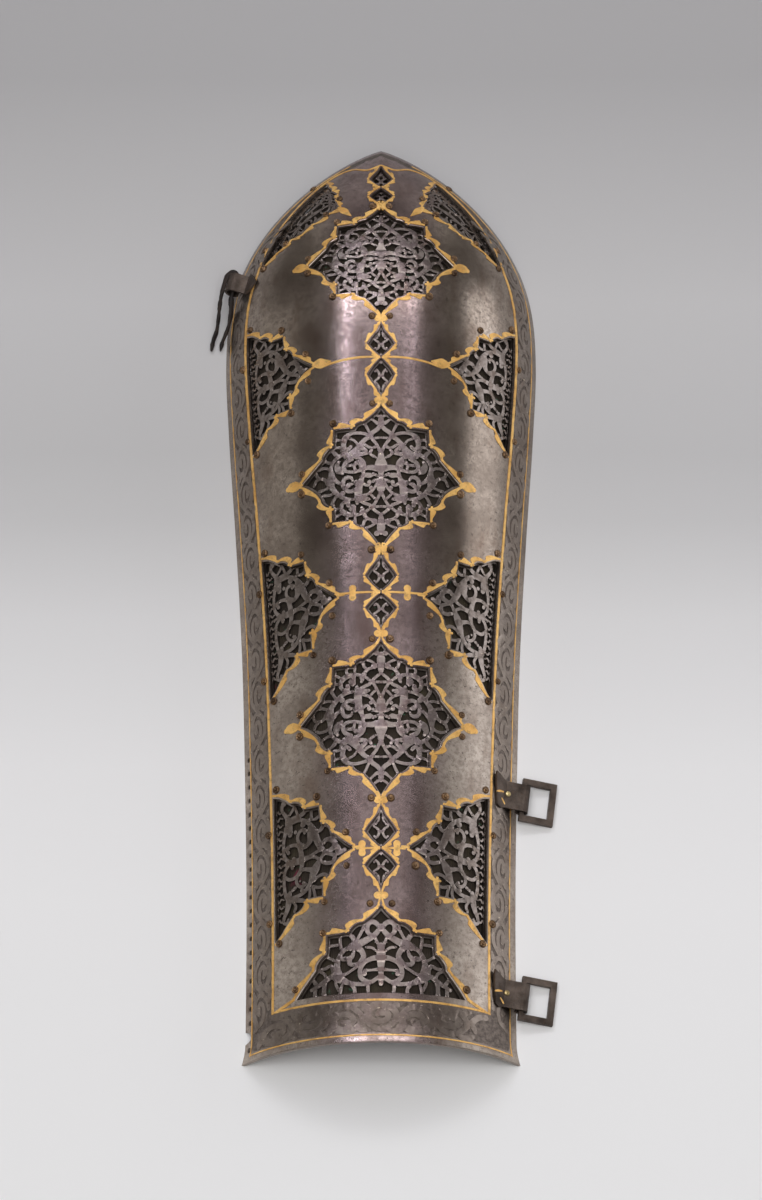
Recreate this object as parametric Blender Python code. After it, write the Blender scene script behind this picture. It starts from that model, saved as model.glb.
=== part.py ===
# Steel forearm guard: a convex trough, domed to a point over the elbow, with pierced panels
# riveted in behind its openings, a lining, two buckle frames and the rest of a leather thong.
# It lies on its two long edges. +Z is up, +Y runs from the wrist rim to the elbow tip.
# Sizes are in millimetres and become metres when a mesh is made.

import math
from collections import namedtuple

import bmesh
import bpy
import numpy as np
from mathutils import Matrix, Vector
from mathutils.geometry import area_tri, delaunay_2d_cdt

MM = 0.001

# Plate
PLATE_THICKNESS = 1.0
WIDEST_STATION = 262.0
TIP_STATION = 345.0
TIP_LIFT = 10.0  # height of the elbow tip's edge above the long edges
TIP_FULLNESS = 2.7  # the two exponents of the pointed plan outline of the elbow
TIP_BLUNTNESS = 0.86
RIM_FLARE = 1.2
RIM_FLARE_LENGTH = 8.0

# Sections across the forearm
Section = namedtuple("Section", "station half_width depth")
SECTIONS = (
    Section(0.0, 45.1, 23.4),
    Section(60.0, 45.4, 24.2),
    Section(105.0, 46.5, 25.4),
    Section(150.0, 48.1, 27.6),
    Section(195.0, 50.9, 30.6),
    Section(235.0, 53.8, 33.8),
    Section(262.0, 55.1, 35.3),
)

# Layers under the plate
LAYER_GAP = 0.45
PANEL_THICKNESS = 0.8
LINING_THICKNESS = 1.0
PANEL_DEPTH = PLATE_THICKNESS + LAYER_GAP
LINING_DEPTH = PANEL_DEPTH + PANEL_THICKNESS + LAYER_GAP
LINING_INSET = 9.0  # the lining's hem from the edge, over the surface
LINING_START = 10.0  # and from the wrist rim
PANEL_MARGIN = 2.6  # how far a panel reaches past its opening
TIP_MARGIN = 0.9  # the same at the ends of the centre row, where panels follow each other
PAIR_MARGIN = 1.6
PAIR_TIP_MARGIN = 0.4
SIDE_MARGIN = 1.5

# A quarter of the lobed opening, from its end on the axis to its side tip, as shares of the half size
Lobe = namedtuple("Lobe", "across along")
LOBES = (
    Lobe(0.00, 1.00),
    Lobe(0.12, 0.88),
    Lobe(0.23, 0.76),
    Lobe(0.31, 0.71),
    Lobe(0.59, 0.62),
    Lobe(0.60, 0.43),
    Lobe(0.68, 0.39),
    Lobe(0.73, 0.28),
    Lobe(0.82, 0.19),
    Lobe(1.00, 0.00),
)

# Openings of the centre row
Lozenge = namedtuple("Lozenge", "number station half_length half_width")
LOZENGES = (
    Lozenge(1, 287.6, 23.0, 25.6),
    Lozenge(2, 203.0, 26.2, 27.2),
    Lozenge(3, 114.6, 27.8, 27.2),
)
HALF_LOZENGE_BASE = 17.4
HALF_LOZENGE_LENGTH = 30.0
HALF_LOZENGE_WIDTH = 28.0

# Pairs of small openings on either side of a cross bar
Pair = namedtuple("Pair", "number bar_station above below half_width")
PAIRS = (
    Pair(1, 321.3, 11.8, 9.2, 3.7),
    Pair(2, 247.7, 12.6, 15.0, 4.4),
    Pair(3, 160.5, 14.6, 13.0, 4.7),
    Pair(4, 68.1, 14.8, 13.6, 4.9),
)
PAIR_GAP = 1.2  # metal left between the two openings of a pair

# Openings along both sides: half lozenges on the inner line of the border
BORDER_WIDTH = 14.6  # from the edge to the openings, over the surface
Side = namedtuple("Side", "number tip_station reach above below")
SIDES = (
    Side(1, 333.5, 11.5, 7.5, 35.0),
    Side(2, 249.0, 28.0, 18.5, 28.5),
    Side(3, 158.3, 27.5, 21.0, 31.0),
    Side(4, 68.1, 28.0, 23.0, 29.0),
)

# Gaps of the pierced work in one quarter of a lozenge, as shares of its half size
Gap = namedtuple("Gap", "across along long_radius short_radius turn")
GAPS = (
    Gap(0.00, 0.76, 0.12, 0.062, 90.0),
    Gap(0.20, 0.58, 0.13, 0.070, 55.0),
    Gap(0.45, 0.42, 0.14, 0.085, -25.0),
    Gap(0.21, 0.22, 0.16, 0.095, 70.0),
    Gap(0.73, 0.00, 0.12, 0.080, 0.0),
)
GAP_POINTS = 8
SIDE_GAPS = (1, 2, 3)  # rows of GAPS used on a side panel
HALF_GAPS = (0, 1, 2, 3)  # rows of GAPS used on the half lozenge

# Holes along the left edge, and the notch below them
EDGE_HOLE_COUNT = 20
EDGE_HOLE_FIRST = 14.3
EDGE_HOLE_PITCH = 5.0
EDGE_HOLE_RADIUS = 0.85
EDGE_HOLE_INSET = 2.5
CORNER_HOLE_STATION = 5.0
NOTCH_STATION = 9.4
NOTCH_HALF_LENGTH = 2.2
NOTCH_DEPTH = 1.7

# Buckles on the right edge
TONGUE_STATIONS = {"upper": 94.0, "lower": 22.5}
TONGUE_THICKNESS = 0.8
TONGUE_WIDTH = 9.6
TONGUE_START = 13.0  # distance of the pointed end from the edge, over the surface
TONGUE_LEAVES = 7.6  # distance from the edge where the sheet bends outwards
TONGUE_CLEARANCE = 0.35
HINGE_OUT = 2.0  # the hinge axis beyond the edge
HINGE_HEIGHT = 3.4
HINGE_YAW = 7.0
KNUCKLE_BORE = 1.4
FRAME_LENGTH = 15.4
FRAME_REACH = 11.2
FRAME_BAR = 2.1
FRAME_HINGE_BAR = 1.5
FRAME_THICKNESS = 1.6
FRAME_SLOPE = 13.1  # how far the frame hangs below level, its outer bar on the floor

# Thong tab and thong on the left edge
TAB_STATION = 291.5
TAB_LENGTH = 7.0
TAB_THICKNESS = 0.8
TAB_START = 15.5
TAB_LEAVES = 10.0
CURL_OUT = 0.0  # the curled end that holds the thong
CURL_HEIGHT = 8.0
CURL_BORE = 1.9
THONG_WIDTH = 2.6
THONG_THICKNESS = 1.3

# The thong's middle line in the tab's own directions: out from the edge, along it and up
Bend = namedtuple("Bend", "out along up")
THONG_ROUTE = (
    Bend(2.2, -24.2, 0.9),
    Bend(2.5, -17.5, 2.8),
    Bend(3.1, -11.5, 4.8),
    Bend(4.2, -5.5, 6.8),
    Bend(4.6, 0.5, 7.8),
    Bend(4.0, 4.8, 8.3),
    Bend(2.2, 6.3, 8.4),
    Bend(0.5, 5.2, 8.2),
    Bend(0.0, 1.5, 8.0),
    Bend(0.0, -2.0, 8.0),
    Bend(-0.1, -6.0, 7.3),
    Bend(-0.5, -10.0, 5.4),
    Bend(-0.5, -14.5, 3.5),
    Bend(-0.7, -19.0, 2.0),
    Bend(-1.0, -23.4, 0.9),
)

MATERIALS = {
    "dark_steel": ((0.17, 0.15, 0.15, 1.0), 0.9, 0.38),
    "pierced_steel": ((0.30, 0.28, 0.28, 1.0), 0.9, 0.42),
    "lining_cloth": ((0.09, 0.065, 0.045, 1.0), 0.0, 0.9),
    "iron": ((0.21, 0.18, 0.17, 1.0), 0.8, 0.5),
    "black_leather": ((0.035, 0.028, 0.025, 1.0), 0.0, 0.65),
}


def clear_scene():
    for item in list(bpy.data.objects):
        bpy.data.objects.remove(item, do_unlink=True)


def make_material(name):
    colour, metallic, roughness = MATERIALS[name]
    material = bpy.data.materials.new(name)
    material.use_nodes = True
    shader = material.node_tree.nodes["Principled BSDF"]
    shader.inputs["Base Color"].default_value = colour
    shader.inputs["Metallic"].default_value = metallic
    shader.inputs["Roughness"].default_value = roughness
    material.diffuse_color = colour
    return material


# The plate's outer surface, as a height over its plan

STATIONS = [row.station for row in SECTIONS]


def section_slopes(name):
    values = [getattr(row, name) for row in SECTIONS]
    slopes = np.gradient(values, STATIONS)
    slopes[0] = 0.0
    slopes[-1] = 0.0
    return values, slopes


SECTION_CURVES = {name: section_slopes(name) for name in ("half_width", "depth")}


def section_size(name, station):
    # A smooth curve through the rows of SECTIONS
    values, slopes = SECTION_CURVES[name]
    station = min(max(station, STATIONS[0]), STATIONS[-1])
    row = max(i for i in range(len(STATIONS) - 1) if STATIONS[i] <= station)
    span = STATIONS[row + 1] - STATIONS[row]
    t = (station - STATIONS[row]) / span
    start = (2 * t**3 - 3 * t**2 + 1) * values[row] + (t**3 - 2 * t**2 + t) * span * slopes[row]
    end = (3 * t**2 - 2 * t**3) * values[row + 1] + (t**3 - t**2) * span * slopes[row + 1]
    flare = RIM_FLARE * max(0.0, 1 - station / RIM_FLARE_LENGTH) ** 2
    return start + end + flare


def plan_half_width(station):
    if station <= WIDEST_STATION:
        return section_size("half_width", station)
    share = min((station - WIDEST_STATION) / (TIP_STATION - WIDEST_STATION), 1.0)
    return SECTIONS[-1].half_width * (1 - share**TIP_FULLNESS) ** TIP_BLUNTNESS


def dome_reach(angle):
    # Distance from the middle of the widest section to the plan outline, along an angle
    low, high = 0.0, 2 * (TIP_STATION - WIDEST_STATION)
    for _ in range(40):
        middle = (low + high) / 2
        x = middle * math.cos(angle)
        station = WIDEST_STATION + middle * math.sin(angle)
        inside = station < TIP_STATION and x < plan_half_width(station)
        low, high = (middle, high) if inside else (low, middle)
    return low


def arch(share, half_angle):
    # Height of a circular arc over its chord, 1 in the middle and 0 at share 1
    sine = min(share * math.sin(half_angle), 0.9999)
    return (math.sqrt(1 - sine * sine) - math.cos(half_angle)) / (1 - math.cos(half_angle))


def height(x, y):
    half_width = section_size("half_width", y)
    depth = section_size("depth", y)
    half_angle = 2 * math.atan(depth / half_width)
    if y <= WIDEST_STATION:
        return depth * arch(abs(x) / half_width, half_angle)
    angle = math.atan2(y - WIDEST_STATION, abs(x))
    share = math.hypot(x, y - WIDEST_STATION) / dome_reach(angle)
    lift = TIP_LIFT * math.sin(angle) ** 4
    return lift + (depth - lift) * arch(share, half_angle)


def surface(x, y, below=0.0):
    # A point under the outer surface, square to it
    step = 0.05
    slope_x = (height(x + step, y) - height(x - step, y)) / (2 * step)
    slope_y = (height(x, y + step) - height(x, y - step)) / (2 * step)
    normal = Vector((-slope_x, -slope_y, 1.0)).normalized()
    return Vector((x, y, height(x, y))) - normal * below


# The edge that the guard lies on, from the wrist corner to the elbow tip, on the +X side


SIDE_PLACES = 66  # how many of the edge's points come before the elbow


def edge_line():
    line = [(plan_half_width(y), y) for y in np.linspace(0.0, WIDEST_STATION, SIDE_PLACES)]
    for angle in np.linspace(0.0, math.pi / 2, 41)[1:]:
        reach = dome_reach(angle)
        line.append((reach * math.cos(angle), WIDEST_STATION + reach * math.sin(angle)))
    return np.array(line)


EDGE = edge_line()
EDGE_DISTANCE = np.concatenate(([0.0], np.cumsum(np.hypot(*np.diff(EDGE, axis=0).T))))


def edge_point(distance):
    x = np.interp(distance, EDGE_DISTANCE, EDGE[:, 0])
    y = np.interp(distance, EDGE_DISTANCE, EDGE[:, 1])
    return np.array((x, y))


def edge_inward(distance):
    along = edge_point(distance + 1.0) - edge_point(distance - 1.0)
    return np.array((-along[1], along[0])) / np.hypot(*along)


def from_edge(distance, inward, side=1):
    # The plan point that lies a surface distance inwards from a place on the edge
    point = edge_point(distance)
    direction = edge_inward(distance)
    point = point + direction * 1e-3
    steps = max(1, round(inward / 0.5))
    for _ in range(steps):
        ahead = point + direction * 0.1
        rise = (height(*ahead) - height(*point)) / 0.1
        point = point + direction * (inward / steps) / math.hypot(1.0, rise)
    return (side * point[0], point[1])


# Plan outlines


def divided(loop, longest=7.5):
    # Long straight runs get points between, so that they follow the curved surface
    points = []
    for (ax, ay), (bx, by) in zip(loop, loop[1:] + loop[:1]):
        pieces = max(1, math.ceil(math.hypot(bx - ax, (by - ay) * 0.6) / longest))
        for piece in range(pieces):
            share = piece / pieces
            points.append((ax + (bx - ax) * share, ay + (by - ay) * share))
    return points


def mirrored_quarter(rows):
    # A closed outline from a quarter of it, anticlockwise
    quarter = [(across, along) for across, along in rows]
    right = quarter + [(across, -along) for across, along in reversed(quarter[:-1])]
    left = [(-across, along) for across, along in reversed(right[1:-1])]
    return (left + right)[::-1]


def lozenge_outline(station, half_length, half_width):
    return [
        (across * half_width, station + along * half_length)
        for across, along in mirrored_quarter(LOBES)
    ]


def plate_outline(station, half_length, half_width):
    # The plain hidden outline of a lozenge panel, clear of the lobes
    rows = ((0.0, 1.0), (0.14, 0.98), (0.72, 0.62), (1.0, 0.10))
    rows = mirrored_quarter(rows + ((1.0, 0.0),))
    length = half_length + TIP_MARGIN
    width = half_width + PANEL_MARGIN
    return [(across * width, station + along * length) for across, along in rows]


def half_lozenge_outline():
    right = [
        (across * HALF_LOZENGE_WIDTH, HALF_LOZENGE_BASE + along * HALF_LOZENGE_LENGTH)
        for across, along in LOBES
    ]
    left = [(-across, along) for across, along in right[1:]]
    return right[::-1] + left


def half_plate_outline():
    width = HALF_LOZENGE_WIDTH + PANEL_MARGIN
    top = HALF_LOZENGE_BASE + HALF_LOZENGE_LENGTH + TIP_MARGIN
    bottom = HALF_LOZENGE_BASE - PANEL_MARGIN
    side = HALF_LOZENGE_BASE + 0.12 * HALF_LOZENGE_LENGTH
    shoulder = HALF_LOZENGE_BASE + 0.68 * HALF_LOZENGE_LENGTH
    return [
        (width, bottom), (width, side), (0.74 * width, shoulder), (3.6, top),
        (-3.6, top), (-0.74 * width, shoulder), (-width, side), (-width, bottom),
    ]


def pair_outlines(bar_station, above, below, half_width):
    outlines = []
    for near, far in ((PAIR_GAP / 2, above), (-PAIR_GAP / 2, -below)):
        start = bar_station + near
        end = bar_station + far
        middle = (start + end) / 2
        outline = [
            (0.0, start),
            (0.55 * half_width, start + 0.22 * (end - start)),
            (half_width, middle),
            (0.55 * half_width, start + 0.78 * (end - start)),
            (0.0, end),
        ]
        outline += [(-x, y) for x, y in reversed(outline[1:-1])]
        outlines.append(outline)
    return outlines


def pair_plate_outline(bar_station, above, below, half_width):
    width = half_width + PAIR_MARGIN
    top = bar_station + above + PAIR_TIP_MARGIN
    bottom = bar_station - below - PAIR_TIP_MARGIN
    return [
        (width, bar_station - 0.8 * below), (width, bar_station + 0.8 * above), (1.6, top),
        (-1.6, top), (-width, bar_station + 0.8 * above), (-width, bar_station - 0.8 * below),
        (-1.6, bottom), (1.6, bottom),
    ]


def side_outline(row, side):
    rows = [(across, along * row.above) for across, along in LOBES]
    rows += [(across, -along * row.below) for across, along in reversed(LOBES[:-1])]
    return [
        from_edge(row.tip_station + along, BORDER_WIDTH + across * row.reach, side)
        for across, along in divided(rows)
    ]


def side_plate_outline(row, side):
    margin = SIDE_MARGIN
    low, high = -row.below - 0.8 * margin, row.above + 0.8 * margin
    places = (
        (low, -2.0), (high, -2.0), (high, margin), (0.66 * row.above, 0.68 * row.reach),
        (1.5, row.reach + margin), (-1.5, row.reach + margin),
        (-0.66 * row.below, 0.68 * row.reach), (low, margin),
    )
    return [
        from_edge(row.tip_station + along, BORDER_WIDTH + inward, side)
        for along, inward in divided(places)
    ]


def leaf(centre, long_radius, short_radius, turn):
    # A gap with two pointed ends
    points = []
    for step in range(GAP_POINTS):
        angle = 2 * math.pi * step / GAP_POINTS
        x = long_radius * math.cos(angle)
        y = short_radius * math.sin(angle) * (1.0 if step % 4 else 0.0)
        y *= 1.15 if step % 2 else 1.0
        points.append((
            centre[0] + x * math.cos(turn) - y * math.sin(turn),
            centre[1] + x * math.sin(turn) + y * math.cos(turn),
        ))
    return points


def gap_leaves(rows, half_length, half_width, signs):
    # The gaps of one panel about its own middle
    leaves = []
    scale = min(half_length, half_width)
    for across, along, long_radius, short_radius, turn in rows:
        for sign_x in signs[0]:
            for sign_y in signs[1]:
                if (across == 0 and sign_x < 0) or (along == 0 and sign_y < 0):
                    continue
                centre = (sign_x * across * half_width, sign_y * along * half_length)
                angle = math.radians(turn) * sign_x * sign_y
                leaves.append(leaf(centre, long_radius * scale, short_radius * scale, angle))
    return leaves


def side_gap_leaves(row, side):
    rows = [GAPS[number] for number in SIDE_GAPS]
    leaves = []
    for half_length, sign in ((row.above, 1), (row.below, -1)):
        for gap in gap_leaves(rows, half_length, row.reach, ((1,), (sign,))):
            leaves.append([
                from_edge(row.tip_station + y, BORDER_WIDTH + x, side) for x, y in gap
            ])
    return leaves


# Sheets: a plan triangulation lifted to the surface and given a thickness


def inside(point, loop):
    x, y = point
    found = False
    for (ax, ay), (bx, by) in zip(loop, loop[1:] + loop[:1]):
        if (ay > y) != (by > y) and x < ax + (y - ay) * (bx - ax) / (by - ay):
            found = not found
    return found


def clearance(point, loop):
    start = np.array(loop)
    run = np.roll(start, -1, axis=0) - start
    offset = np.array(point) - start
    share = np.clip((offset * run).sum(1) / (run * run).sum(1), 0.0, 1.0)
    return np.hypot(*(offset - run * share[:, None]).T).min()


def grid_points(columns, rings, pitch):
    # Points of even angle across the trough, and in rings over the elbow
    points = []
    stations = np.linspace(0.0, WIDEST_STATION, round(WIDEST_STATION / pitch) + 1)
    for station in stations:
        half_width = section_size("half_width", station)
        half_angle = 2 * math.atan(section_size("depth", station) / half_width)
        for column in range(-columns, columns + 1):
            share = math.sin(half_angle * column / columns) / math.sin(half_angle)
            points.append((share * half_width, station))
    for spoke in range(1, 2 * rings):
        angle = math.pi * spoke / (2 * rings)
        reach = dome_reach(math.acos(abs(math.cos(angle))))
        for ring in range(1, columns + 1):
            share = math.sin(half_angle * ring / columns) / math.sin(half_angle)
            points.append((
                share * reach * math.cos(angle),
                WIDEST_STATION + share * reach * math.sin(angle),
            ))
    return points


def sheet(name, material, outline, holes, points, depth, thickness, on_edge=None):
    outline = divided(outline)
    holes = [divided(hole) for hole in holes]
    coords = list(outline)
    edges = [(i, (i + 1) % len(outline)) for i in range(len(outline))]
    for hole in holes:
        first = len(coords)
        coords += hole
        edges += [(first + i, first + (i + 1) % len(hole)) for i in range(len(hole))]
    loops = [outline] + holes
    for point in points:
        if inside(point, outline) and all(clearance(point, loop) > 1.3 for loop in loops):
            if not any(inside(point, hole) for hole in holes):
                coords.append(point)
    flat, _, triangles, _, _, _ = delaunay_2d_cdt([Vector(c) for c in coords], edges, [], 0, 1e-5)
    kept = []
    for triangle in triangles:
        a, b, c = (flat[i] for i in triangle)
        middle = (a + b + c) / 3
        if area_tri(a, b, c) < 1e-4 or not inside(middle, outline):
            continue
        if not any(inside(middle, hole) for hole in holes):
            kept.append(triangle)
    mesh = bmesh.new()
    outer, inner = {}, {}
    for index in sorted({i for triangle in kept for i in triangle}):
        x, y = flat[index]
        under = surface(x, y, depth + thickness)
        if on_edge:
            under = on_edge(x, y, under)
        outer[index] = mesh.verts.new(surface(x, y, depth) * MM)
        inner[index] = mesh.verts.new(under * MM)
    sides = {}
    for a, b, c in kept:
        mesh.faces.new((outer[a], outer[b], outer[c]))
        mesh.faces.new((inner[c], inner[b], inner[a]))
        for start, end in ((a, b), (b, c), (c, a)):
            if (end, start) in sides:
                del sides[(end, start)]
            else:
                sides[(start, end)] = True
    for start, end in sides:
        mesh.faces.new((outer[end], outer[start], inner[start], inner[end]))
    return finish(name, mesh, material)


def finish(name, mesh, material, smooth_angle=30.0):
    data = bpy.data.meshes.new(name)
    bmesh.ops.triangulate(mesh, faces=[face for face in mesh.faces if len(face.verts) > 4])
    bmesh.ops.recalc_face_normals(mesh, faces=mesh.faces)
    mesh.to_mesh(data)
    mesh.free()
    data.materials.append(material)
    data.shade_smooth()
    data.set_sharp_from_angle(angle=math.radians(smooth_angle))
    thing = bpy.data.objects.new(name, data)
    bpy.context.collection.objects.link(thing)
    return thing


# Plate


def shell_outline():
    places = [0, 1] + list(range(3, SIDE_PLACES, 3)) + list(range(SIDE_PLACES, len(EDGE) - 1, 2))
    right = [tuple(EDGE[place]) for place in places]
    left = [(-x, y) for x, y in reversed(right)]
    outline = right + [(0.0, TIP_STATION)] + left
    depth = NOTCH_DEPTH
    notch = []
    for along, inset in ((1.0, 0.0), (0.7, 1.0), (-0.7, 1.0), (-1.0, 0.0)):
        station = NOTCH_STATION + along * NOTCH_HALF_LENGTH
        notch.append((-plan_half_width(station) + inset * depth, station))
    low, high = notch[-1][1], notch[0][1]
    outline = [p for p in outline if p[0] > 0 or not low - 1 < p[1] < high + 1]
    place = next(i for i, p in enumerate(outline) if p[0] < 0 and p[1] < low)
    outline = outline[:place] + notch + outline[place:]
    rim = []
    for share in np.linspace(-1.0, 1.0, 17)[1:-1]:
        rim.append((math.sin(share) / math.sin(1.0) * plan_half_width(0.0), 0.0))
    return outline + rim


def edge_holes():
    stations = [EDGE_HOLE_FIRST + EDGE_HOLE_PITCH * i for i in range(EDGE_HOLE_COUNT)]
    holes = []
    for station in [CORNER_HOLE_STATION] + stations:
        loop = []
        for step in range(6):
            angle = math.pi * step / 3
            along = station + EDGE_HOLE_RADIUS * math.cos(angle)
            inward = EDGE_HOLE_INSET + EDGE_HOLE_RADIUS * math.sin(angle)
            loop.append(from_edge(along, inward, -1))
        holes.append(loop)
    return holes


def flat_foot(x, y, under):
    # The edge that meets the surface is flat underneath
    on_side = y <= WIDEST_STATION and abs(abs(x) - plan_half_width(y)) < 0.02
    if not on_side and np.hypot(EDGE[:, 0] - abs(x), EDGE[:, 1] - y).min() > 0.02:
        return under
    outer = surface(x, y)
    run = Vector((under.x - outer.x, under.y - outer.y, 0.0))
    slant = run.length / PLATE_THICKNESS
    return outer + run.normalized() * PLATE_THICKNESS / slant


def build_shell(material):
    holes = [lozenge_outline(*row[1:]) for row in LOZENGES]
    holes.append(half_lozenge_outline())
    for row in PAIRS:
        holes += pair_outlines(*row[1:])
    for row in SIDES:
        holes += [side_outline(row, side) for side in (1, -1)]
    holes += edge_holes()
    points = grid_points(columns=7, rings=7, pitch=14.0)
    return sheet(
        "shell", material, shell_outline(), holes, points, 0.0, PLATE_THICKNESS, flat_foot
    )


# Pierced panels


def build_panels(material):
    points = grid_points(columns=9, rings=7, pitch=10.5)
    for number, station, half_length, half_width in LOZENGES:
        gaps = [
            [(x, station + y) for x, y in gap]
            for gap in gap_leaves(GAPS, half_length, half_width, ((1, -1), (1, -1)))
        ]
        outline = plate_outline(station, half_length, half_width)
        sheet(
            f"lozenge_panel_{number}", material, outline, gaps, points, PANEL_DEPTH, PANEL_THICKNESS
        )
    rows = [GAPS[number] for number in HALF_GAPS]
    gaps = [
        [(x, HALF_LOZENGE_BASE + y) for x, y in gap]
        for gap in gap_leaves(rows, HALF_LOZENGE_LENGTH, HALF_LOZENGE_WIDTH, ((1, -1), (1,)))
    ]
    outline = half_plate_outline()
    sheet("half_lozenge_panel", material, outline, gaps, points, PANEL_DEPTH, PANEL_THICKNESS)
    for number, bar_station, above, below, half_width in PAIRS:
        gaps = []
        for middle, reach in ((above / 2, above / 2), (-below / 2, below / 2)):
            for side in (1, -1):
                centre = (side * 0.42 * half_width, bar_station + middle)
                gaps.append(leaf(centre, 0.55 * reach, 0.26 * half_width, math.pi / 2))
        outline = pair_plate_outline(bar_station, above, below, half_width)
        sheet(f"diamond_panel_{number}", material, outline, gaps, [], PANEL_DEPTH, PANEL_THICKNESS)
    for row in SIDES:
        for side, word in ((1, "right"), (-1, "left")):
            name = f"side_panel_{word}_{row.number}"
            outline = side_plate_outline(row, side)
            gaps = side_gap_leaves(row, side)
            sheet(name, material, outline, gaps, points, PANEL_DEPTH, PANEL_THICKNESS)


# Lining


def build_lining(material):
    distances = np.linspace(LINING_START, EDGE_DISTANCE[-1] - 1.0, 26)
    right = [from_edge(distance, LINING_INSET) for distance in distances]
    right = [(x, y) for x, y in right if x > 2.0]
    left = [(-x, y) for x, y in reversed(right)]
    rim = [(share * right[0][0], right[0][1]) for share in np.linspace(-1, 1, 13)[1:-1]]
    points = grid_points(columns=8, rings=6, pitch=17.5)
    outline = right + left + rim
    return sheet("lining", material, outline, [], points, LINING_DEPTH, LINING_THICKNESS)


# Strips swept along a line that lies in one upright plane


def strip(name, material, line, widths, thickness, to_world):
    # line holds (out, up) points of the strip's middle, widths the extent either side along Y
    mesh = bmesh.new()
    rings = []
    for index, (out, up) in enumerate(line):
        before = Vector(line[max(index - 1, 0)])
        after = Vector(line[min(index + 1, len(line) - 1)])
        run = (after - before).normalized()
        across = Vector((-run.y, run.x)) * thickness / 2
        low, high = widths[index]
        ring = []
        for along, sign in ((low, -1), (high, -1), (high, 1), (low, 1)):
            point = Vector((out + sign * across.x, along, up + sign * across.y))
            ring.append(mesh.verts.new(to_world @ point * MM))
        rings.append(ring)
    for first, second in zip(rings, rings[1:]):
        for side in range(4):
            after = (side + 1) % 4
            mesh.faces.new((first[side], first[after], second[after], second[side]))
    mesh.faces.new(rings[0][::-1])
    mesh.faces.new(rings[-1])
    return finish(name, mesh, material)


def off_surface(distance, inward, off):
    # A point off the surface, as out and up from the edge
    x, y = from_edge(distance, inward)
    point = surface(x, y, -off)
    edge = edge_point(distance)
    return (math.hypot(point.x - edge[0], point.y - edge[1]) * -1.0, point.z)


def curl(centre, radius, first, last, steps):
    line = []
    for angle in np.radians(np.linspace(first, last, steps)):
        line.append((centre[0] + radius * math.cos(angle), centre[1] + radius * math.sin(angle)))
    return line


def tongue_line(station):
    off = TONGUE_CLEARANCE + TONGUE_THICKNESS / 2
    inward = np.linspace(TONGUE_START, TONGUE_LEAVES, 4)
    line = [off_surface(station, step, off) for step in inward]
    radius = KNUCKLE_BORE + TONGUE_THICKNESS / 2
    return line + curl((HINGE_OUT, HINGE_HEIGHT), radius, 95.0, -170.0, 13)


def build_tongue(word, material):
    station = TONGUE_STATIONS[word]
    line = tongue_line(station)
    half = TONGUE_WIDTH / 2
    start = [(0.9 * half, 1.4 * half), (-1.0 * half, 1.25 * half), (-1.15 * half, 1.05 * half)]
    widths = start + [(-half, half)] * (len(line) - len(start))
    hinge = Matrix.Translation((HINGE_OUT, 0.0, 0.0))
    yaw = hinge @ Matrix.Rotation(math.radians(-HINGE_YAW), 4, "Z") @ hinge.inverted()
    edge = Matrix.Translation((edge_point(station)[0], station, 0.0))
    return strip(
        f"buckle_strap_{word}", material, line, widths, TONGUE_THICKNESS, edge @ yaw
    )


def build_frame(word, material):
    # A flat ring of square bar, its hinge bar thinner, modelled about the hinge axis
    station = TONGUE_STATIONS[word]
    half = FRAME_LENGTH / 2
    hinge = FRAME_HINGE_BAR / 2
    outer = ((-hinge, -half), (FRAME_REACH, -half), (FRAME_REACH, half), (-hinge, half))
    inner = (
        (hinge, FRAME_BAR - half), (FRAME_REACH - FRAME_BAR, FRAME_BAR - half),
        (FRAME_REACH - FRAME_BAR, half - FRAME_BAR), (hinge, half - FRAME_BAR),
    )
    mesh = bmesh.new()
    rings = [
        [mesh.verts.new(Vector((x, y, z)) * MM) for x, y in loop]
        for loop in (outer, inner)
        for z in (-FRAME_THICKNESS / 2, FRAME_THICKNESS / 2)
    ]
    outer_low, outer_high, inner_low, inner_high = rings
    for a in range(4):
        b = (a + 1) % 4
        mesh.faces.new((outer_low[a], outer_low[b], outer_high[b], outer_high[a]))
        mesh.faces.new((inner_low[b], inner_low[a], inner_high[a], inner_high[b]))
        mesh.faces.new((outer_high[a], outer_high[b], inner_high[b], inner_high[a]))
        mesh.faces.new((outer_low[b], outer_low[a], inner_low[a], inner_low[b]))
    frame = finish(f"buckle_frame_{word}", mesh, material)
    edge = edge_point(station)
    frame.location = Vector((edge[0] + HINGE_OUT, station, HINGE_HEIGHT)) * MM
    frame.rotation_euler = (0.0, math.radians(FRAME_SLOPE), math.radians(-HINGE_YAW))
    return frame


# Thong tab: a small plate with a curled end that the thong runs through


def tab_place():
    edge = edge_point(TAB_STATION)
    inward = edge_inward(TAB_STATION)
    turn = math.atan2(-inward[1], -inward[0])
    return Matrix.Translation((edge[0], edge[1], 0.0)) @ Matrix.Rotation(turn, 4, "Z")


def build_tab(material):
    off = TONGUE_CLEARANCE + TAB_THICKNESS / 2
    inward = np.linspace(TAB_START, TAB_LEAVES, 4)
    line = [off_surface(TAB_STATION, step, off) for step in inward]
    radius = CURL_BORE + TAB_THICKNESS / 2
    line += curl((CURL_OUT, CURL_HEIGHT), radius, 100.0, -150.0, 12)
    half = TAB_LENGTH / 2
    widths = [(-0.2, 0.5), (-0.7 * half, 0.7 * half), (-1.15 * half, 1.15 * half)]
    widths += [(-half, half)] * (len(line) - len(widths))
    mirror = Matrix.Diagonal((-1.0, 1.0, 1.0, 1.0))
    return strip("thong_tab", material, line, widths, TAB_THICKNESS, mirror @ tab_place())


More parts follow.
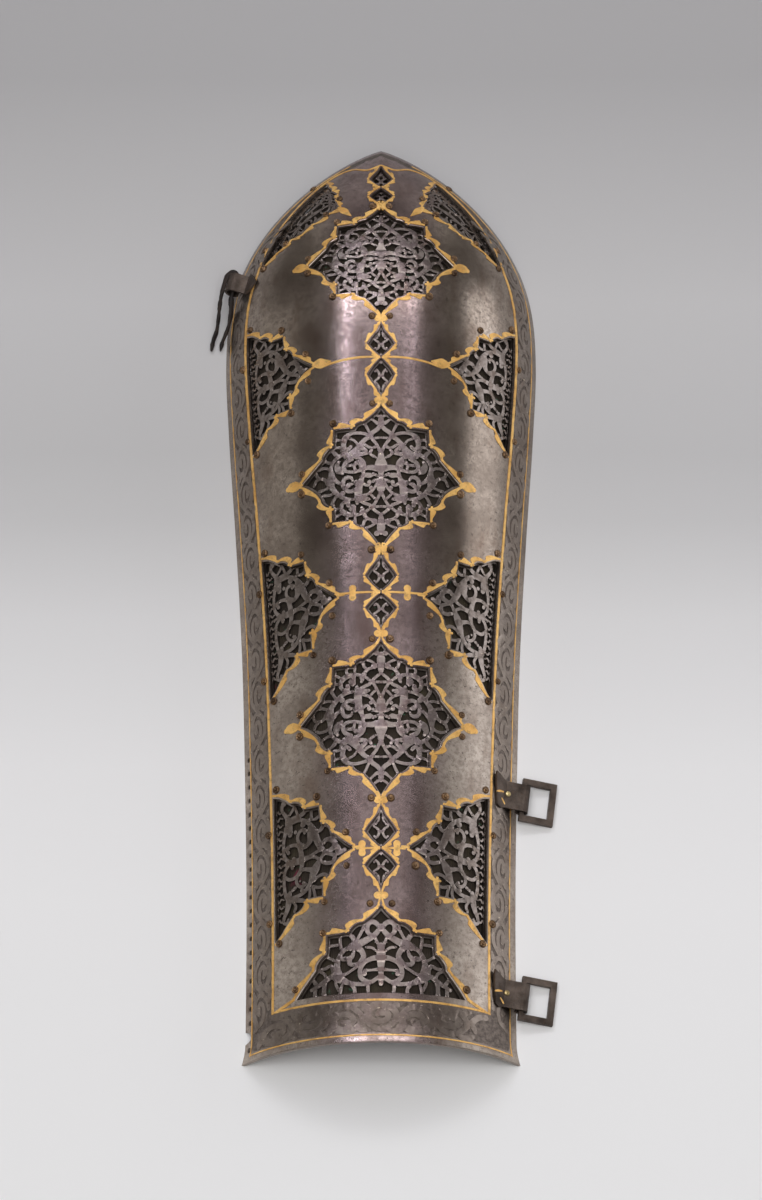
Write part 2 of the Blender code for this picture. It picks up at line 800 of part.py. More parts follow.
def thong_curve():
    points = [Vector(row) for row in THONG_ROUTE]
    points = [2 * points[0] - points[1]] + points + [2 * points[-1] - points[-2]]
    curve = []
    for a, b, c, d in zip(points, points[1:], points[2:], points[3:]):
        for step in range(3):
            t = step / 3
            curve.append(0.5 * (
                2 * b + (c - a) * t + (2 * a - 5 * b + 4 * c - d) * t**2
                + (3 * b - a - 3 * c + d) * t**3
            ))
    return curve + [points[-2]]


def build_thong(material):
    mesh = bmesh.new()
    place = Matrix.Diagonal((-1.0, 1.0, 1.0, 1.0)) @ tab_place()
    path = [place @ point for point in thong_curve()]
    rings = []
    for index, point in enumerate(path):
        run = (path[min(index + 1, len(path) - 1)] - path[max(index - 1, 0)]).normalized()
        flat = run.cross(Vector((0.35, 0.15, 1.0))).normalized()
        thick = run.cross(flat).normalized()
        taper = 0.45 if index in (0, len(path) - 1) else 1.0
        ring = []
        for step in range(6):
            angle = math.pi * step / 3
            offset = flat * (math.cos(angle) * THONG_WIDTH / 2 * taper)
            offset += thick * (math.sin(angle) * THONG_THICKNESS / 2 * 1.1)
            ring.append(mesh.verts.new((point + offset) * MM))
        rings.append(ring)
    for first, second in zip(rings, rings[1:]):
        for side in range(6):
            after = (side + 1) % 6
            mesh.faces.new((first[side], first[after], second[after], second[side]))
    mesh.faces.new(rings[0][::-1])
    mesh.faces.new(rings[-1])
    return finish("thong", mesh, material)


def stand_over_origin():
    # All pieces hang on one empty, moved so that the guard's base is centred on the origin
    bpy.context.view_layer.update()
    pieces = [thing for thing in bpy.data.objects if thing.type == "MESH"]
    corners = np.array([
        thing.matrix_world @ vertex.co for thing in pieces for vertex in thing.data.vertices
    ])
    low, high = corners.min(axis=0), corners.max(axis=0)
    empty = bpy.data.objects.new("guard", None)
    bpy.context.collection.objects.link(empty)
    for thing in pieces:
        thing.parent = empty
    empty.location = (-(low[0] + high[0]) / 2, -(low[1] + high[1]) / 2, -low[2])


def main():
    clear_scene()
    materials = {name: make_material(name) for name in MATERIALS}
    build_shell(materials["dark_steel"])
    build_panels(materials["pierced_steel"])
    build_lining(materials["lining_cloth"])
    for word in TONGUE_STATIONS:
        build_tongue(word, materials["iron"])
        build_frame(word, materials["iron"])
    build_tab(materials["iron"])
    build_thong(materials["black_leather"])
    stand_over_origin()


main()
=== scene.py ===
# Looks of the steel forearm guard: the plate with its lobed openings, gilt borders, etched band,
# openwork panels, rivets, cloth lining, buckles and thong.
# Shapes are worked out in millimetres over the plan of the trough: x across, y from the wrist rim to
# the elbow tip. lift() puts a plan point on the curved surface, and place() takes it to the frame.

import math
import random

import bpy
import numpy as np
from mathutils import Matrix, Vector
from mathutils.geometry import delaunay_2d_cdt


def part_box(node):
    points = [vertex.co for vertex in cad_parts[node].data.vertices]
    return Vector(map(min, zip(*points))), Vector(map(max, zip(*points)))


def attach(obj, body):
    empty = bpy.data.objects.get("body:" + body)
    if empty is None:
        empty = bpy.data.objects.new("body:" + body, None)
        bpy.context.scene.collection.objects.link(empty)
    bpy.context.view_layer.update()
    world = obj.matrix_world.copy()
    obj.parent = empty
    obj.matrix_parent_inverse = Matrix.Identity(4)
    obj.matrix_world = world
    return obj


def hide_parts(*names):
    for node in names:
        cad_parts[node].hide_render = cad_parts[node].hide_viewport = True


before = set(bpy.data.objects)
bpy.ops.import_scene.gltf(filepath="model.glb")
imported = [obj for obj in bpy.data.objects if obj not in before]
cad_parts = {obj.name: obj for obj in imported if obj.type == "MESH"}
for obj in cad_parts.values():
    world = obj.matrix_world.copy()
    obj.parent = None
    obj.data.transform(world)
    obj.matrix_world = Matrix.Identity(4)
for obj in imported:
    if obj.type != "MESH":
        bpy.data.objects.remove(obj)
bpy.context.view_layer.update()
random.seed(11)
mm = 0.001

# The surface that everything follows

plate = {
    "tip": 345.0,
    "widest": 262.0,
    "tipLift": 10.0,
    "fullness": 2.7,
    "bluntness": 0.86,
    "flare": 1.2,
    "flareLength": 8.0,
    "thickness": 1.0,
    "sections": (  # station, half width, depth
        (0.0, 45.1, 23.4),
        (60.0, 45.4, 24.2),
        (105.0, 46.5, 25.4),
        (150.0, 48.1, 27.6),
        (195.0, 50.9, 30.6),
        (235.0, 53.8, 33.8),
        (262.0, 55.1, 35.3),
    ),
    "grid": 2.3,
    "domeRings": (1.3, 2.9, 4.7, 6.8, 9.0),  # rows of points along the steep edge of the dome
    "chamfer": 0.22,
    "chamferDrop": 0.2,
}

shellLow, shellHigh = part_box("shell")
axisX = (shellLow.x + shellHigh.x) / 2 / mm
rimY = shellHigh.y / mm - plate["tip"]


def smoothTable(column):
    stations, *columns = np.array(plate["sections"]).T
    values = columns[column - 1]
    slopes = np.gradient(values, stations)
    slopes[0] = slopes[-1] = 0.0
    fine = np.linspace(stations[0], stations[-1], 1049)
    row = np.clip(np.searchsorted(stations, fine, side="right") - 1, 0, len(stations) - 2)
    span = stations[row + 1] - stations[row]
    t = (fine - stations[row]) / span
    start = (2 * t**3 - 3 * t**2 + 1) * values[row] + (t**3 - 2 * t**2 + t) * span * slopes[row]
    end = (3 * t**2 - 2 * t**3) * values[row + 1] + (t**3 - t**2) * span * slopes[row + 1]
    return fine, start + end


tableStations, tableHalf = smoothTable(1)
tableDepth = smoothTable(2)[1]


def flareAt(y):
    return plate["flare"] * np.maximum(0.0, 1 - np.maximum(y, 0.0) / plate["flareLength"]) ** 2


def planHalf(y):
    share = np.clip((y - plate["widest"]) / (plate["tip"] - plate["widest"]), 0.0, 1.0)
    side = np.interp(y, tableStations, tableHalf) + flareAt(y)
    return np.where(
        y <= plate["widest"], side, tableHalf[-1] * (1 - share ** plate["fullness"]) ** plate["bluntness"]
    )


def reachTable():
    angles = np.linspace(0.0, math.pi / 2, 721)
    low = np.zeros_like(angles)
    high = np.full_like(angles, 170.0)
    for _ in range(44):
        middle = (low + high) / 2
        y = plate["widest"] + middle * np.sin(angles)
        within = (y < plate["tip"]) & (middle * np.cos(angles) < planHalf(y))
        low = np.where(within, middle, low)
        high = np.where(within, high, middle)
    return angles, low


reachAngles, reaches = reachTable()


def heightAt(x, y):
    half = np.interp(y, tableStations, tableHalf) + flareAt(y)
    depth = np.interp(y, tableStations, tableDepth) + flareAt(y)
    halfAngle = 2 * np.arctan(depth / half)
    beyond = np.maximum(y - plate["widest"], 0.0)
    angle = np.arctan2(beyond, np.abs(x))
    reach = np.interp(angle, reachAngles, reaches)
    share = np.where(y <= plate["widest"], np.abs(x) / half, np.hypot(x, beyond) / reach)
    sine = np.minimum(share * np.sin(halfAngle), 0.9999)
    arch = (np.sqrt(1 - sine**2) - np.cos(halfAngle)) / (1 - np.cos(halfAngle))
    rise = np.where(y <= plate["widest"], 0.0, plate["tipLift"] * np.sin(angle) ** 4)
    return rise + (depth - rise) * arch


def lift(points, below):
    # Plan points to points under (or, where below is negative, over) the outer surface
    x, y = np.asarray(points, float).T
    step = 0.05
    slopeX = (heightAt(x + step, y) - heightAt(x - step, y)) / (2 * step)
    slopeY = (heightAt(x, y + step) - heightAt(x, y - step)) / (2 * step)
    normal = np.stack((-slopeX, -slopeY, np.ones_like(x)), 1)
    normal /= np.linalg.norm(normal, axis=1)[:, None]
    return np.stack((x, y, heightAt(x, y)), 1) - normal * np.reshape(below, (-1, 1))


def place(points):
    return (np.asarray(points) + (axisX, rimY, 0.0)) * mm


# Distances along and in from the long edges

def edgeTable():
    y = np.linspace(0.0, plate["widest"], 263)
    side = np.stack((planHalf(y), y), 1)
    angles = np.linspace(0.0, math.pi / 2, 181)[1:]
    reach = np.interp(angles, reachAngles, reaches)
    dome = np.stack((reach * np.cos(angles), plate["widest"] + reach * np.sin(angles)), 1)
    line = np.concatenate((side, dome))
    along = np.concatenate(([0.0], np.cumsum(np.hypot(*np.diff(line, axis=0).T))))
    return line, along


edgeLine, edgeAlong = edgeTable()
edgeLength = edgeAlong[-1]
chartStep = {"along": 1.0, "inward": 0.25, "deepest": 52.0}


def edgeChart():
    along = np.arange(0.0, edgeLength, chartStep["along"])

    def at(distance):
        return np.stack([np.interp(distance, edgeAlong, edgeLine[:, i]) for i in (0, 1)], 1)

    run = at(along + 1.0) - at(along - 1.0)
    inward = np.stack((-run[:, 1], run[:, 0]), 1) / np.hypot(*run.T)[:, None]
    point = at(along) + inward * 1e-3
    rows = [point]
    for _ in range(int(chartStep["deepest"] / chartStep["inward"])):
        ahead = point + inward * 0.1
        rise = (heightAt(*ahead.T) - heightAt(*point.T)) / 0.1
        point = point + inward * (chartStep["inward"] / np.hypot(1.0, rise))[:, None]
        rows.append(point)
    return np.stack(rows, 1)


chart = edgeChart()


def fromEdge(points, side=1):
    # (inward, along) over the surface to plan points
    inward, along = np.asarray(points, float).T
    i = np.clip(along / chartStep["along"], 0, chart.shape[0] - 1.001)
    j = np.clip(inward / chartStep["inward"], 0, chart.shape[1] - 1.001)
    row, column = i.astype(int), j.astype(int)
    s, t = (i - row)[:, None], (j - column)[:, None]
    plan = (chart[row, column] * (1 - s) * (1 - t) + chart[row + 1, column] * s * (1 - t)
            + chart[row, column + 1] * (1 - s) * t + chart[row + 1, column + 1] * s * t)
    return plan * (side, 1.0)


# Flat shapes as lists of plan polygons

def smoothLine(points, step=0.8, closed=False):
    # A curve through the points; columns after the first two, such as a width, are blended too
    points = [np.array(p, float) for p in points]
    if closed:
        padded = [points[-1]] + points + points[:2]
    else:
        padded = [2 * points[0] - points[1]] + points + [2 * points[-1] - points[-2]]
    line = []
    for a, b, c, d in zip(padded, padded[1:], padded[2:], padded[3:]):
        count = max(1, round(np.linalg.norm((c - b)[:2]) / step))
        for i in range(count):
            t = i / count
            line.append(0.5 * (2 * b + (c - a) * t + (2 * a - 5 * b + 4 * c - d) * t**2
                               + (3 * b - a - 3 * c + d) * t**3))
    if not closed:
        line.append(points[-1])
    return np.array(line)


def sideways(line, closed=False):
    # Mitred unit offsets to the left of a line
    ahead = np.roll(line, -1, axis=0) - line
    if not closed:
        ahead[-1] = ahead[-2]
    ahead /= np.maximum(np.hypot(*ahead.T), 1e-9)[:, None]
    behind = np.roll(ahead, 1, axis=0)
    if not closed:
        behind[0] = ahead[0]
    first = np.stack((-behind[:, 1], behind[:, 0]), 1)
    second = np.stack((-ahead[:, 1], ahead[:, 0]), 1)
    middle = first + second
    middle /= np.maximum(np.hypot(*middle.T), 1e-9)[:, None]
    return middle / np.maximum((middle * second).sum(1), 0.6)[:, None]


def band(line, left, right, closed=False):
    across = sideways(line, closed)
    a = line + across * np.reshape(left, (-1, 1))
    b = line - across * np.reshape(right, (-1, 1))
    last = len(line) if closed else len(line) - 1
    return [[a[i], b[i], b[(i + 1) % len(line)], a[(i + 1) % len(line)]] for i in range(last)]


def disc(centre, radius, sides=10, tall=1.0, turn=0.0):
    angles = np.arange(sides) * 2 * math.pi / sides
    x, y = radius * np.cos(angles), radius * tall * np.sin(angles)
    c, s = math.cos(turn), math.sin(turn)
    return [np.stack((centre[0] + x * c - y * s, centre[1] + x * s + y * c), 1)]


def stroke(points, step=0.6, thinnest=0.5):
    # A stroke through (x, y, width) points, with round ends
    line = smoothLine(points, step)
    half = np.maximum(line[:, 2], thinnest) / 2
    polygons = band(line[:, :2], half, half)
    for end in (0, -1):
        polygons += disc(line[end, :2], half[end] * 1.02, 8)
    return polygons


def plainStroke(points, width, step=0.7):
    return stroke([(x, y, width) for x, y in points], step)


# Meshes

def newPiece(name, vertices, faces, material, smoothAngle=38.0):
    mesh = bpy.data.meshes.new(name)
    mesh.from_pydata([tuple(v) for v in vertices], [], faces)
    mesh.validate()
    mesh.shade_smooth()
    mesh.set_sharp_from_angle(angle=math.radians(smoothAngle))
    mesh.materials.append(material)
    piece = bpy.data.objects.new(name, mesh)
    bpy.context.scene.collection.objects.link(piece)
    return piece


def setAttribute(piece, name, values):
    attribute = piece.data.attributes.new(name, "FLOAT", "POINT")
    attribute.data.foreach_set("value", np.asarray(values, np.float32))


def counterClockwise(loop):
    x, y = np.asarray(loop).T
    area = np.sum(x * np.roll(y, -1) - y * np.roll(x, -1))
    return loop if area > 0 else loop[::-1]


def hull(points):
    # The convex outline of one stroke piece, anticlockwise, or nothing where it is too thin
    points = sorted({(round(float(x), 4), round(float(y), 4)) for x, y in points})
    chains = []
    for run in (points, points[::-1]):
        chain = []
        for p in run:
            while len(chain) > 1:
                (ax, ay), (bx, by) = chain[-2:]
                if (bx - ax) * (p[1] - ay) - (by - ay) * (p[0] - ax) > 1e-7:
                    break
                chain.pop()
            chain.append(p)
        chains.append(chain[:-1])
    outline = chains[0] + chains[1]
    if len(outline) < 3:
        return None
    x, y = np.array(outline).T
    if np.sum(x * np.roll(y, -1) - y * np.roll(x, -1)) < 4e-3:
        return None
    return outline


def unionSheet(name, polygons, top, bottom, material, crown=0.0):
    # Overlapping plan polygons become one sheet between two depths under the surface.
    # Its inner points rise by the crown, which rounds every stroke.
    coords, faces = [], []
    for polygon in polygons:
        outline = hull(polygon)
        if outline:
            faces.append(list(range(len(coords), len(coords) + len(outline))))
            coords.extend(Vector(p) for p in outline)
    flat, _, triangles, _, _, sources = delaunay_2d_cdt(coords, [], faces, 0, 1e-5)
    kept = [tuple(t) for t, source in zip(triangles, sources) if source]
    return sheetFromTriangles(name, np.array([tuple(p) for p in flat]), kept, top, bottom, material, crown)


def sheetFromTriangles(name, flat, kept, top, bottom, material, crown):
    used = sorted({i for t in kept for i in t})
    index = {old: new for new, old in enumerate(used)}
    kept = [tuple(index[i] for i in t) for t in kept]
    points = flat[used]
    sides = set()
    for a, b, c in kept:
        for edge in ((a, b), (b, c), (c, a)):
            if edge[::-1] in sides:
                sides.remove(edge[::-1])
            else:
                sides.add(edge)
    rim = np.zeros(len(points))
    for edge in sides:
        rim[list(edge)] = 1.0
    count = len(points)
    upper = place(lift(points, np.where(rim > 0, top, np.full(count, top) - crown)))
    lower = place(lift(points, np.full(count, bottom)))
    faces = list(kept)
    faces += [(c + count, b + count, a + count) for a, b, c in kept]
    faces += [(b, a, a + count, b + count) for a, b in sorted(sides)]
    piece = newPiece(name, np.concatenate((upper, lower)), faces, material)
    setAttribute(piece, "rim", np.concatenate((rim, rim)))
    return piece


def finishPiece(piece, body="guard", replaced=()):
    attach(piece, body)
    if replaced:
        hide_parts(*replaced)
    return piece


# Materials

def nodeMaker(name, metallic, roughness):
    material = bpy.data.materials.new(name)
    material.use_nodes = True
    tree = material.node_tree
    shader = tree.nodes["Principled BSDF"]
    shader.inputs["Metallic"].default_value = metallic
    shader.inputs["Roughness"].default_value = roughness

    def make(kind, links=None, **settings):
        made = tree.nodes.new(kind)
        for key, value in settings.items():
            if key in made.inputs:
                made.inputs[key].default_value = value
            else:
                setattr(made, key, value)
        for key, source in (links or {}).items():
            tree.links.new(source, made.inputs[key])
        return made

    return material, tree, shader, make


def noiseNode(make, coordinates, scale, detail=4.0, roughness=0.55, stretch=None):
    if stretch:
        mapping = make("ShaderNodeMapping", {"Vector": coordinates})
        mapping.inputs["Scale"].default_value = stretch
        coordinates = mapping.outputs["Vector"]
    noise = make("ShaderNodeTexNoise", {"Vector": coordinates}, Scale=scale, Detail=detail)
    noise.inputs["Roughness"].default_value = roughness
    return noise.outputs["Fac"]


def ramp(make, source, *stops):
    made = make("ShaderNodeValToRGB", {"Fac": source})
    elements = made.color_ramp.elements
    while len(elements) < len(stops):
        elements.new(0.5)
    for element, (position, colour) in zip(elements, stops):
        element.position = position
        element.color = (colour, colour, colour, 1.0) if isinstance(colour, float) else (*colour, 1.0)
    return made.outputs["Color"]


def mix(make, share, first, second, mode="MIX"):
    made = make("ShaderNodeMix", data_type="RGBA", blend_type=mode)
    links = made.id_data.links
    for socket, value in ((made.inputs[0], share), (made.inputs[6], first), (made.inputs[7], second)):
        if isinstance(value, bpy.types.NodeSocket):
            links.new(value, socket)
        else:
            socket.default_value = (*value, 1.0) if isinstance(value, tuple) else value
    return made.outputs[2]


def bump(make, source, shader, strength, distance):
    made = make("ShaderNodeBump", {"Height": source}, Strength=strength, Distance=distance)
    made.id_data.links.new(made.outputs["Normal"], shader.inputs["Normal"])


patina = {
    "rust": (0.16, 0.105, 0.075),
    "wornFrom": 178.0, "wornFull": 100.0,  # the plate is duller and paler towards the wrist
    "wornTint": (1.22, 1.24, 1.26), "wornRough": (0.13, 0.13, 0.13),
    "metalHigh": (0.90, 0.90, 0.90), "metalLow": (0.66, 0.66, 0.66),
    "pit": (0.05, 0.038, 0.032),
    "ridgeFull": 12.0,
    "ridgeEnd": 24.0,
    "ground": (0.15, 0.12, 0.10),
    "groundLow": (0.08, 0.062, 0.052),
    "groundHigh": (0.235, 0.192, 0.162),
    # painted glint: the pale colour of painted sparkle highlights on the grainy steel
    "paintedGlint": (0.80, 0.70, 0.52),
}


def steelMaterial(name, tones, roughness, ridgeTint, bandName=None, rimWearAndShading=(0.20, 0.17, 0.15), wornTo=None):
    material, tree, shader, make = nodeMaker(name, 1.0, 0.4)
    place3 = make("ShaderNodeTexCoord").outputs["Object"]
    clouds = noiseNode(make, place3, 38.0, 6.0, 0.62)
    mottle = noiseNode(make, place3, 520.0, 6.0, 0.78)
    smudge = noiseNode(make, place3, 70.0, 5.0, 0.6, stretch=(1.8, 0.6, 1.0))
    colour = ramp(make, clouds, (0.34, tones[0]), (0.50, tones[1]), (0.66, tones[2]))
    colour = mix(make, ramp(make, mottle, (0.38, 0.85), (0.56, 0.0)), colour, tones[0])
    colour = mix(make, ramp(make, smudge, (0.52, 0.0), (0.70, 0.6)), colour, patina["rust"])
    across = make("ShaderNodeSeparateXYZ", {"Vector": place3}).outputs["X"]
    offset = make("ShaderNodeMath", {0: across}, operation="SUBTRACT")
    offset.inputs[1].default_value = axisX * mm
    distance = make("ShaderNodeMath", {0: offset.outputs[0]}, operation="ABSOLUTE").outputs[0]
    spread = make("ShaderNodeMapRange", {"Value": distance})
    spread.inputs["From Min"].default_value = patina["ridgeFull"] * mm
    spread.inputs["From Max"].default_value = patina["ridgeEnd"] * mm
    spread.inputs["To Min"].default_value = 1.0
    spread.inputs["To Max"].default_value = 0.0
    colour = mix(make, spread.outputs["Result"], colour, ridgeTint, "MULTIPLY")
    specks = noiseNode(make, place3, 900.0, 3.0, 0.8)
    pits = ramp(make, specks, (0.60, 0.0), (0.68, 0.85))
    colour = mix(make, pits, colour, patina["pit"])
    # Pale specks painted into the colour of the openwork and etched steel: painted glints that stand in for sparkles
    # of light
    if not bandName:
        glintSpecks = noiseNode(make, place3, 1300.0, 2.0, 0.5)
        colour = mix(make, ramp(make, glintSpecks, (0.69, 0.0), (0.73, 0.8)), colour, patina["paintedGlint"])
    # Along the rims the colour turns to rimWearAndShading in scratchy patches. On the plate this is a darker tone,
    # painted shade along the edges of the openings. On the openwork it is a paler tone, rubbed edges with painted
    # bevel highlights.
    rim = make("ShaderNodeAttribute", attribute_name="rim").outputs["Fac"]
    scratches = noiseNode(make, place3, 260.0, 3.0)
    worn = make("ShaderNodeMath", {0: rim, 1: ramp(make, scratches, (0.35, 0.25), (0.6, 0.85))},
                operation="MULTIPLY").outputs[0]
    colour = mix(make, worn, colour, rimWearAndShading)
    if wornTo:
        along = make("ShaderNodeSeparateXYZ", {"Vector": place3}).outputs["Y"]
        rubbed = make("ShaderNodeMapRange", {"Value": along})
        rubbed.inputs["From Min"].default_value = (rimY + wornTo - 2.0) * mm
        rubbed.inputs["From Max"].default_value = (rimY + wornTo) * mm
        rubbed.inputs["To Min"].default_value = 1.0
        rubbed.inputs["To Max"].default_value = 0.30
        patches = ramp(make, noiseNode(make, place3, 110.0, 5.0, 0.7), (0.40, 0.0), (0.64, 0.75))
        gone = mix(make, 1.0, patches, rubbed.outputs["Result"], "MULTIPLY")
        colour = mix(make, gone, colour, patina["ground"])
    rough = ramp(make, mottle, (0.35, roughness + 0.05), (0.65, roughness - 0.03))
    height = mottle
    if bandName:
        along = make("ShaderNodeSeparateXYZ", {"Vector": place3}).outputs["Y"]
        low = make("ShaderNodeMapRange", {"Value": along})
        low.inputs["From Min"].default_value = (rimY + patina["wornFull"]) * mm
        low.inputs["From Max"].default_value = (rimY + patina["wornFrom"]) * mm
        low.inputs["To Min"].default_value = 1.0
        low.inputs["To Max"].default_value = 0.0
        flank = make("ShaderNodeMath", {1: spread.outputs["Result"]}, operation="SUBTRACT")
        flank.inputs[0].default_value = 1.0
        share = mix(make, 1.0, low.outputs["Result"], flank.outputs[0], "MULTIPLY")
        colour = mix(make, share, colour, mix(make, 1.0, colour, patina["wornTint"], "MULTIPLY"))
        dulled = mix(make, 1.0, rough, patina["wornRough"], "ADD")
        rough = mix(make, share, rough, dulled)
        metal = mix(make, share, patina["metalHigh"], patina["metalLow"])
        tree.links.new(metal, shader.inputs["Metallic"])
        inBand = make("ShaderNodeAttribute", attribute_name=bandName).outputs["Fac"]
        mask = ramp(make, inBand, (0.0, 0.0), (0.06, 1.0), (0.94, 1.0), (1.0, 0.0))
        ground = noiseNode(make, place3, 620.0, 4.0, 0.75)
        dark = ramp(make, ground, (0.35, patina["groundLow"]), (0.7, patina["groundHigh"]))
        colour = mix(make, mask, colour, dark)
        height = mix(make, mask, mottle, ground)
        rough = mix(make, mask, rough, (0.46, 0.46, 0.46))
    tree.links.new(colour, shader.inputs["Base Color"])
    tree.links.new(rough, shader.inputs["Roughness"])
    bump(make, height, shader, 0.025, 0.0003)
    return material


def giltMaterial(name, bright, deep, metallic):
    material, tree, shader, make = nodeMaker(name, metallic, 0.4)
    place3 = make("ShaderNodeTexCoord").outputs["Object"]
    broad = noiseNode(make, place3, 160.0, 4.0)
    fine = noiseNode(make, place3, 1100.0, 4.0, 0.7)
    colour = ramp(make, broad, (0.35, deep), (0.62, bright))
    worn = ramp(make, fine, (0.62, 0.0), (0.74, 0.8))
    colour = mix(make, worn, colour, (0.16, 0.10, 0.06))
    rubbed = noiseNode(make, place3, 420.0, 4.0, 0.7)
    colour = mix(make, ramp(make, rubbed, (0.50, 0.0), (0.66, 0.6)), colour, (0.30, 0.17, 0.07))
    tree.links.new(colour, shader.inputs["Base Color"])
    tree.links.new(ramp(make, fine, (0.3, 0.30), (0.7, 0.52)), shader.inputs["Roughness"])
    bump(make, fine, shader, 0.3, 0.0002)
    return material


def ironMaterial(name):
    material, tree, shader, make = nodeMaker(name, 0.85, 0.5)
    place3 = make("ShaderNodeTexCoord").outputs["Object"]
    clouds = noiseNode(make, place3, 180.0, 5.0)
    grain = noiseNode(make, place3, 1300.0, 5.0, 0.7)
    colour = ramp(make, clouds, (0.35, (0.050, 0.038, 0.031)), (0.65, (0.15, 0.118, 0.098)))
    colour = mix(make, ramp(make, grain, (0.55, 0.0), (0.72, 0.7)), colour, (0.16, 0.10, 0.07))
    tree.links.new(colour, shader.inputs["Base Color"])
    tree.links.new(ramp(make, grain, (0.3, 0.42), (0.7, 0.66)), shader.inputs["Roughness"])
    bump(make, grain, shader, 0.45, 0.0004)
    return material


def clothMaterial(name):
    material, tree, shader, make = nodeMaker(name, 0.0, 0.9)
    place3 = make("ShaderNodeTexCoord").outputs["Object"]
    clouds = noiseNode(make, place3, 120.0, 5.0)
    spots = noiseNode(make, place3, 330.0, 3.0)
    weave = make("ShaderNodeTexWave", {"Vector": place3}, Scale=420.0, Distortion=2.0, Detail=2.0)
    # Near-black browns: partly the old lining's own dark colour, partly painted shade that makes the holes of the
    # openwork read deep
    colour = ramp(make, clouds, (0.3, (0.018, 0.012, 0.008)), (0.55, (0.038, 0.027, 0.017)),
                  (0.75, (0.066, 0.054, 0.026)))
    colour = mix(make, ramp(make, spots, (0.68, 0.0), (0.74, 0.8)), colour, (0.05, 0.16, 0.09))
    crimson = noiseNode(make, place3, 95.0, 1.0)
    colour = mix(make, ramp(make, crimson, (0.74, 0.0), (0.78, 0.7)), colour, (0.22, 0.02, 0.06))
    tree.links.new(colour, shader.inputs["Base Color"])
    bump(make, weave.outputs["Fac"], shader, 0.4, 0.0003)
    return material


def leatherMaterial(name):
    material, tree, shader, make = nodeMaker(name, 0.0, 0.6)
    place3 = make("ShaderNodeTexCoord").outputs["Object"]
    grain = make("ShaderNodeTexVoronoi", {"Vector": place3}, Scale=900.0)
    clouds = noiseNode(make, place3, 260.0, 4.0)
    colour = ramp(make, clouds, (0.35, (0.008, 0.006, 0.006)), (0.7, (0.040, 0.028, 0.022)))
    shader.inputs["Specular IOR Level"].default_value = 0.25
    tree.links.new(colour, shader.inputs["Base Color"])
    tree.links.new(ramp(make, clouds, (0.3, 0.45), (0.7, 0.75)), shader.inputs["Roughness"])
    bump(make, grain.outputs["Distance"], shader, 0.4, 0.0004)
    return material


materials = {
    "plate": steelMaterial("darkSteel", ((0.21, 0.168, 0.136), (0.345, 0.286, 0.236), (0.455, 0.385, 0.322)),
                           0.22, (0.88, 0.81, 0.93), bandName="band"),
    "openwork": steelMaterial("piercedSteel", ((0.17, 0.138, 0.118), (0.26, 0.218, 0.192), (0.35, 0.30, 0.27)),
                              0.36, (0.98, 0.93, 1.04), rimWearAndShading=(0.36, 0.31, 0.28)),
    "etched": steelMaterial("etchedSteel", ((0.20, 0.165, 0.138), (0.30, 0.25, 0.212), (0.38, 0.325, 0.28)),
                            0.34, (0.9, 0.85, 0.9), rimWearAndShading=(0.28, 0.235, 0.20), wornTo=16.5),
    "gold": giltMaterial("gilding", (0.93, 0.57, 0.18), (0.72, 0.39, 0.10), 0.5),
    "brass": giltMaterial("rivetBrass", (0.24, 0.15, 0.085), (0.07, 0.042, 0.027), 0.9),
    "pinBrass": giltMaterial("pinBrass", (0.85, 0.70, 0.36), (0.50, 0.38, 0.18), 0.9),
    "iron": ironMaterial("forgedIron"),
    "cloth": clothMaterial("liningClothPaintedShade"),
    "leather": leatherMaterial("thongLeather"),
}

# Openings

# Runs of a quarter outline between its cusps, from the end tip to the side tip: (across, along) as shares
lozengeUpper = (
    ((0.0, 1.0), (0.05, 0.925), (0.11, 0.86), (0.215, 0.775)),
    ((0.215, 0.775), (0.275, 0.765), (0.32, 0.735), (0.345, 0.69)),
    ((0.345, 0.69), (0.46, 0.69), (0.59, 0.685)),
    ((0.59, 0.685), (0.595, 0.57), (0.605, 0.455)),
    ((0.605, 0.455), (0.67, 0.42), (0.72, 0.36), (0.745, 0.285)),
    ((0.745, 0.285), (0.82, 0.20), (0.90, 0.11), (1.0, 0.0)),
)
lozengeLower = (
    ((0.0, 1.0), (0.06, 0.90), (0.13, 0.80), (0.215, 0.70)),
    ((0.215, 0.70), (0.28, 0.675), (0.33, 0.64), (0.365, 0.595)),
    ((0.365, 0.595), (0.47, 0.59), (0.60, 0.59)),
    ((0.60, 0.59), (0.60, 0.49), (0.605, 0.385)),
    ((0.605, 0.385), (0.68, 0.36), (0.73, 0.31), (0.75, 0.255)),
    ((0.75, 0.255), (0.80, 0.17), (0.89, 0.08), (1.0, 0.0)),
)
halfUpper = (
    ((0.0, 1.0), (0.06, 0.93), (0.13, 0.87), (0.205, 0.815)),
    ((0.205, 0.815), (0.28, 0.80), (0.34, 0.76), (0.385, 0.70)),
    ((0.385, 0.70), (0.50, 0.69), (0.635, 0.685)),
    ((0.635, 0.685), (0.635, 0.58), (0.645, 0.48)),
    ((0.645, 0.48), (0.71, 0.43), (0.755, 0.37), (0.77, 0.30)),
    ((0.77, 0.30), (0.85, 0.20), (0.93, 0.10), (1.0, 0.0)),
)
sideUpper = (
    ((0.0, 1.0), (0.09, 0.965), (0.17, 0.90), (0.245, 0.83)),
    ((0.245, 0.83), (0.32, 0.825), (0.38, 0.78), (0.415, 0.695)),
    ((0.415, 0.695), (0.50, 0.69), (0.61, 0.69)),
    ((0.61, 0.69), (0.615, 0.56), (0.635, 0.42)),
    ((0.635, 0.42), (0.69, 0.40), (0.73, 0.34), (0.745, 0.265)),
    ((0.745, 0.265), (0.82, 0.19), (0.90, 0.10), (1.0, 0.0)),
)
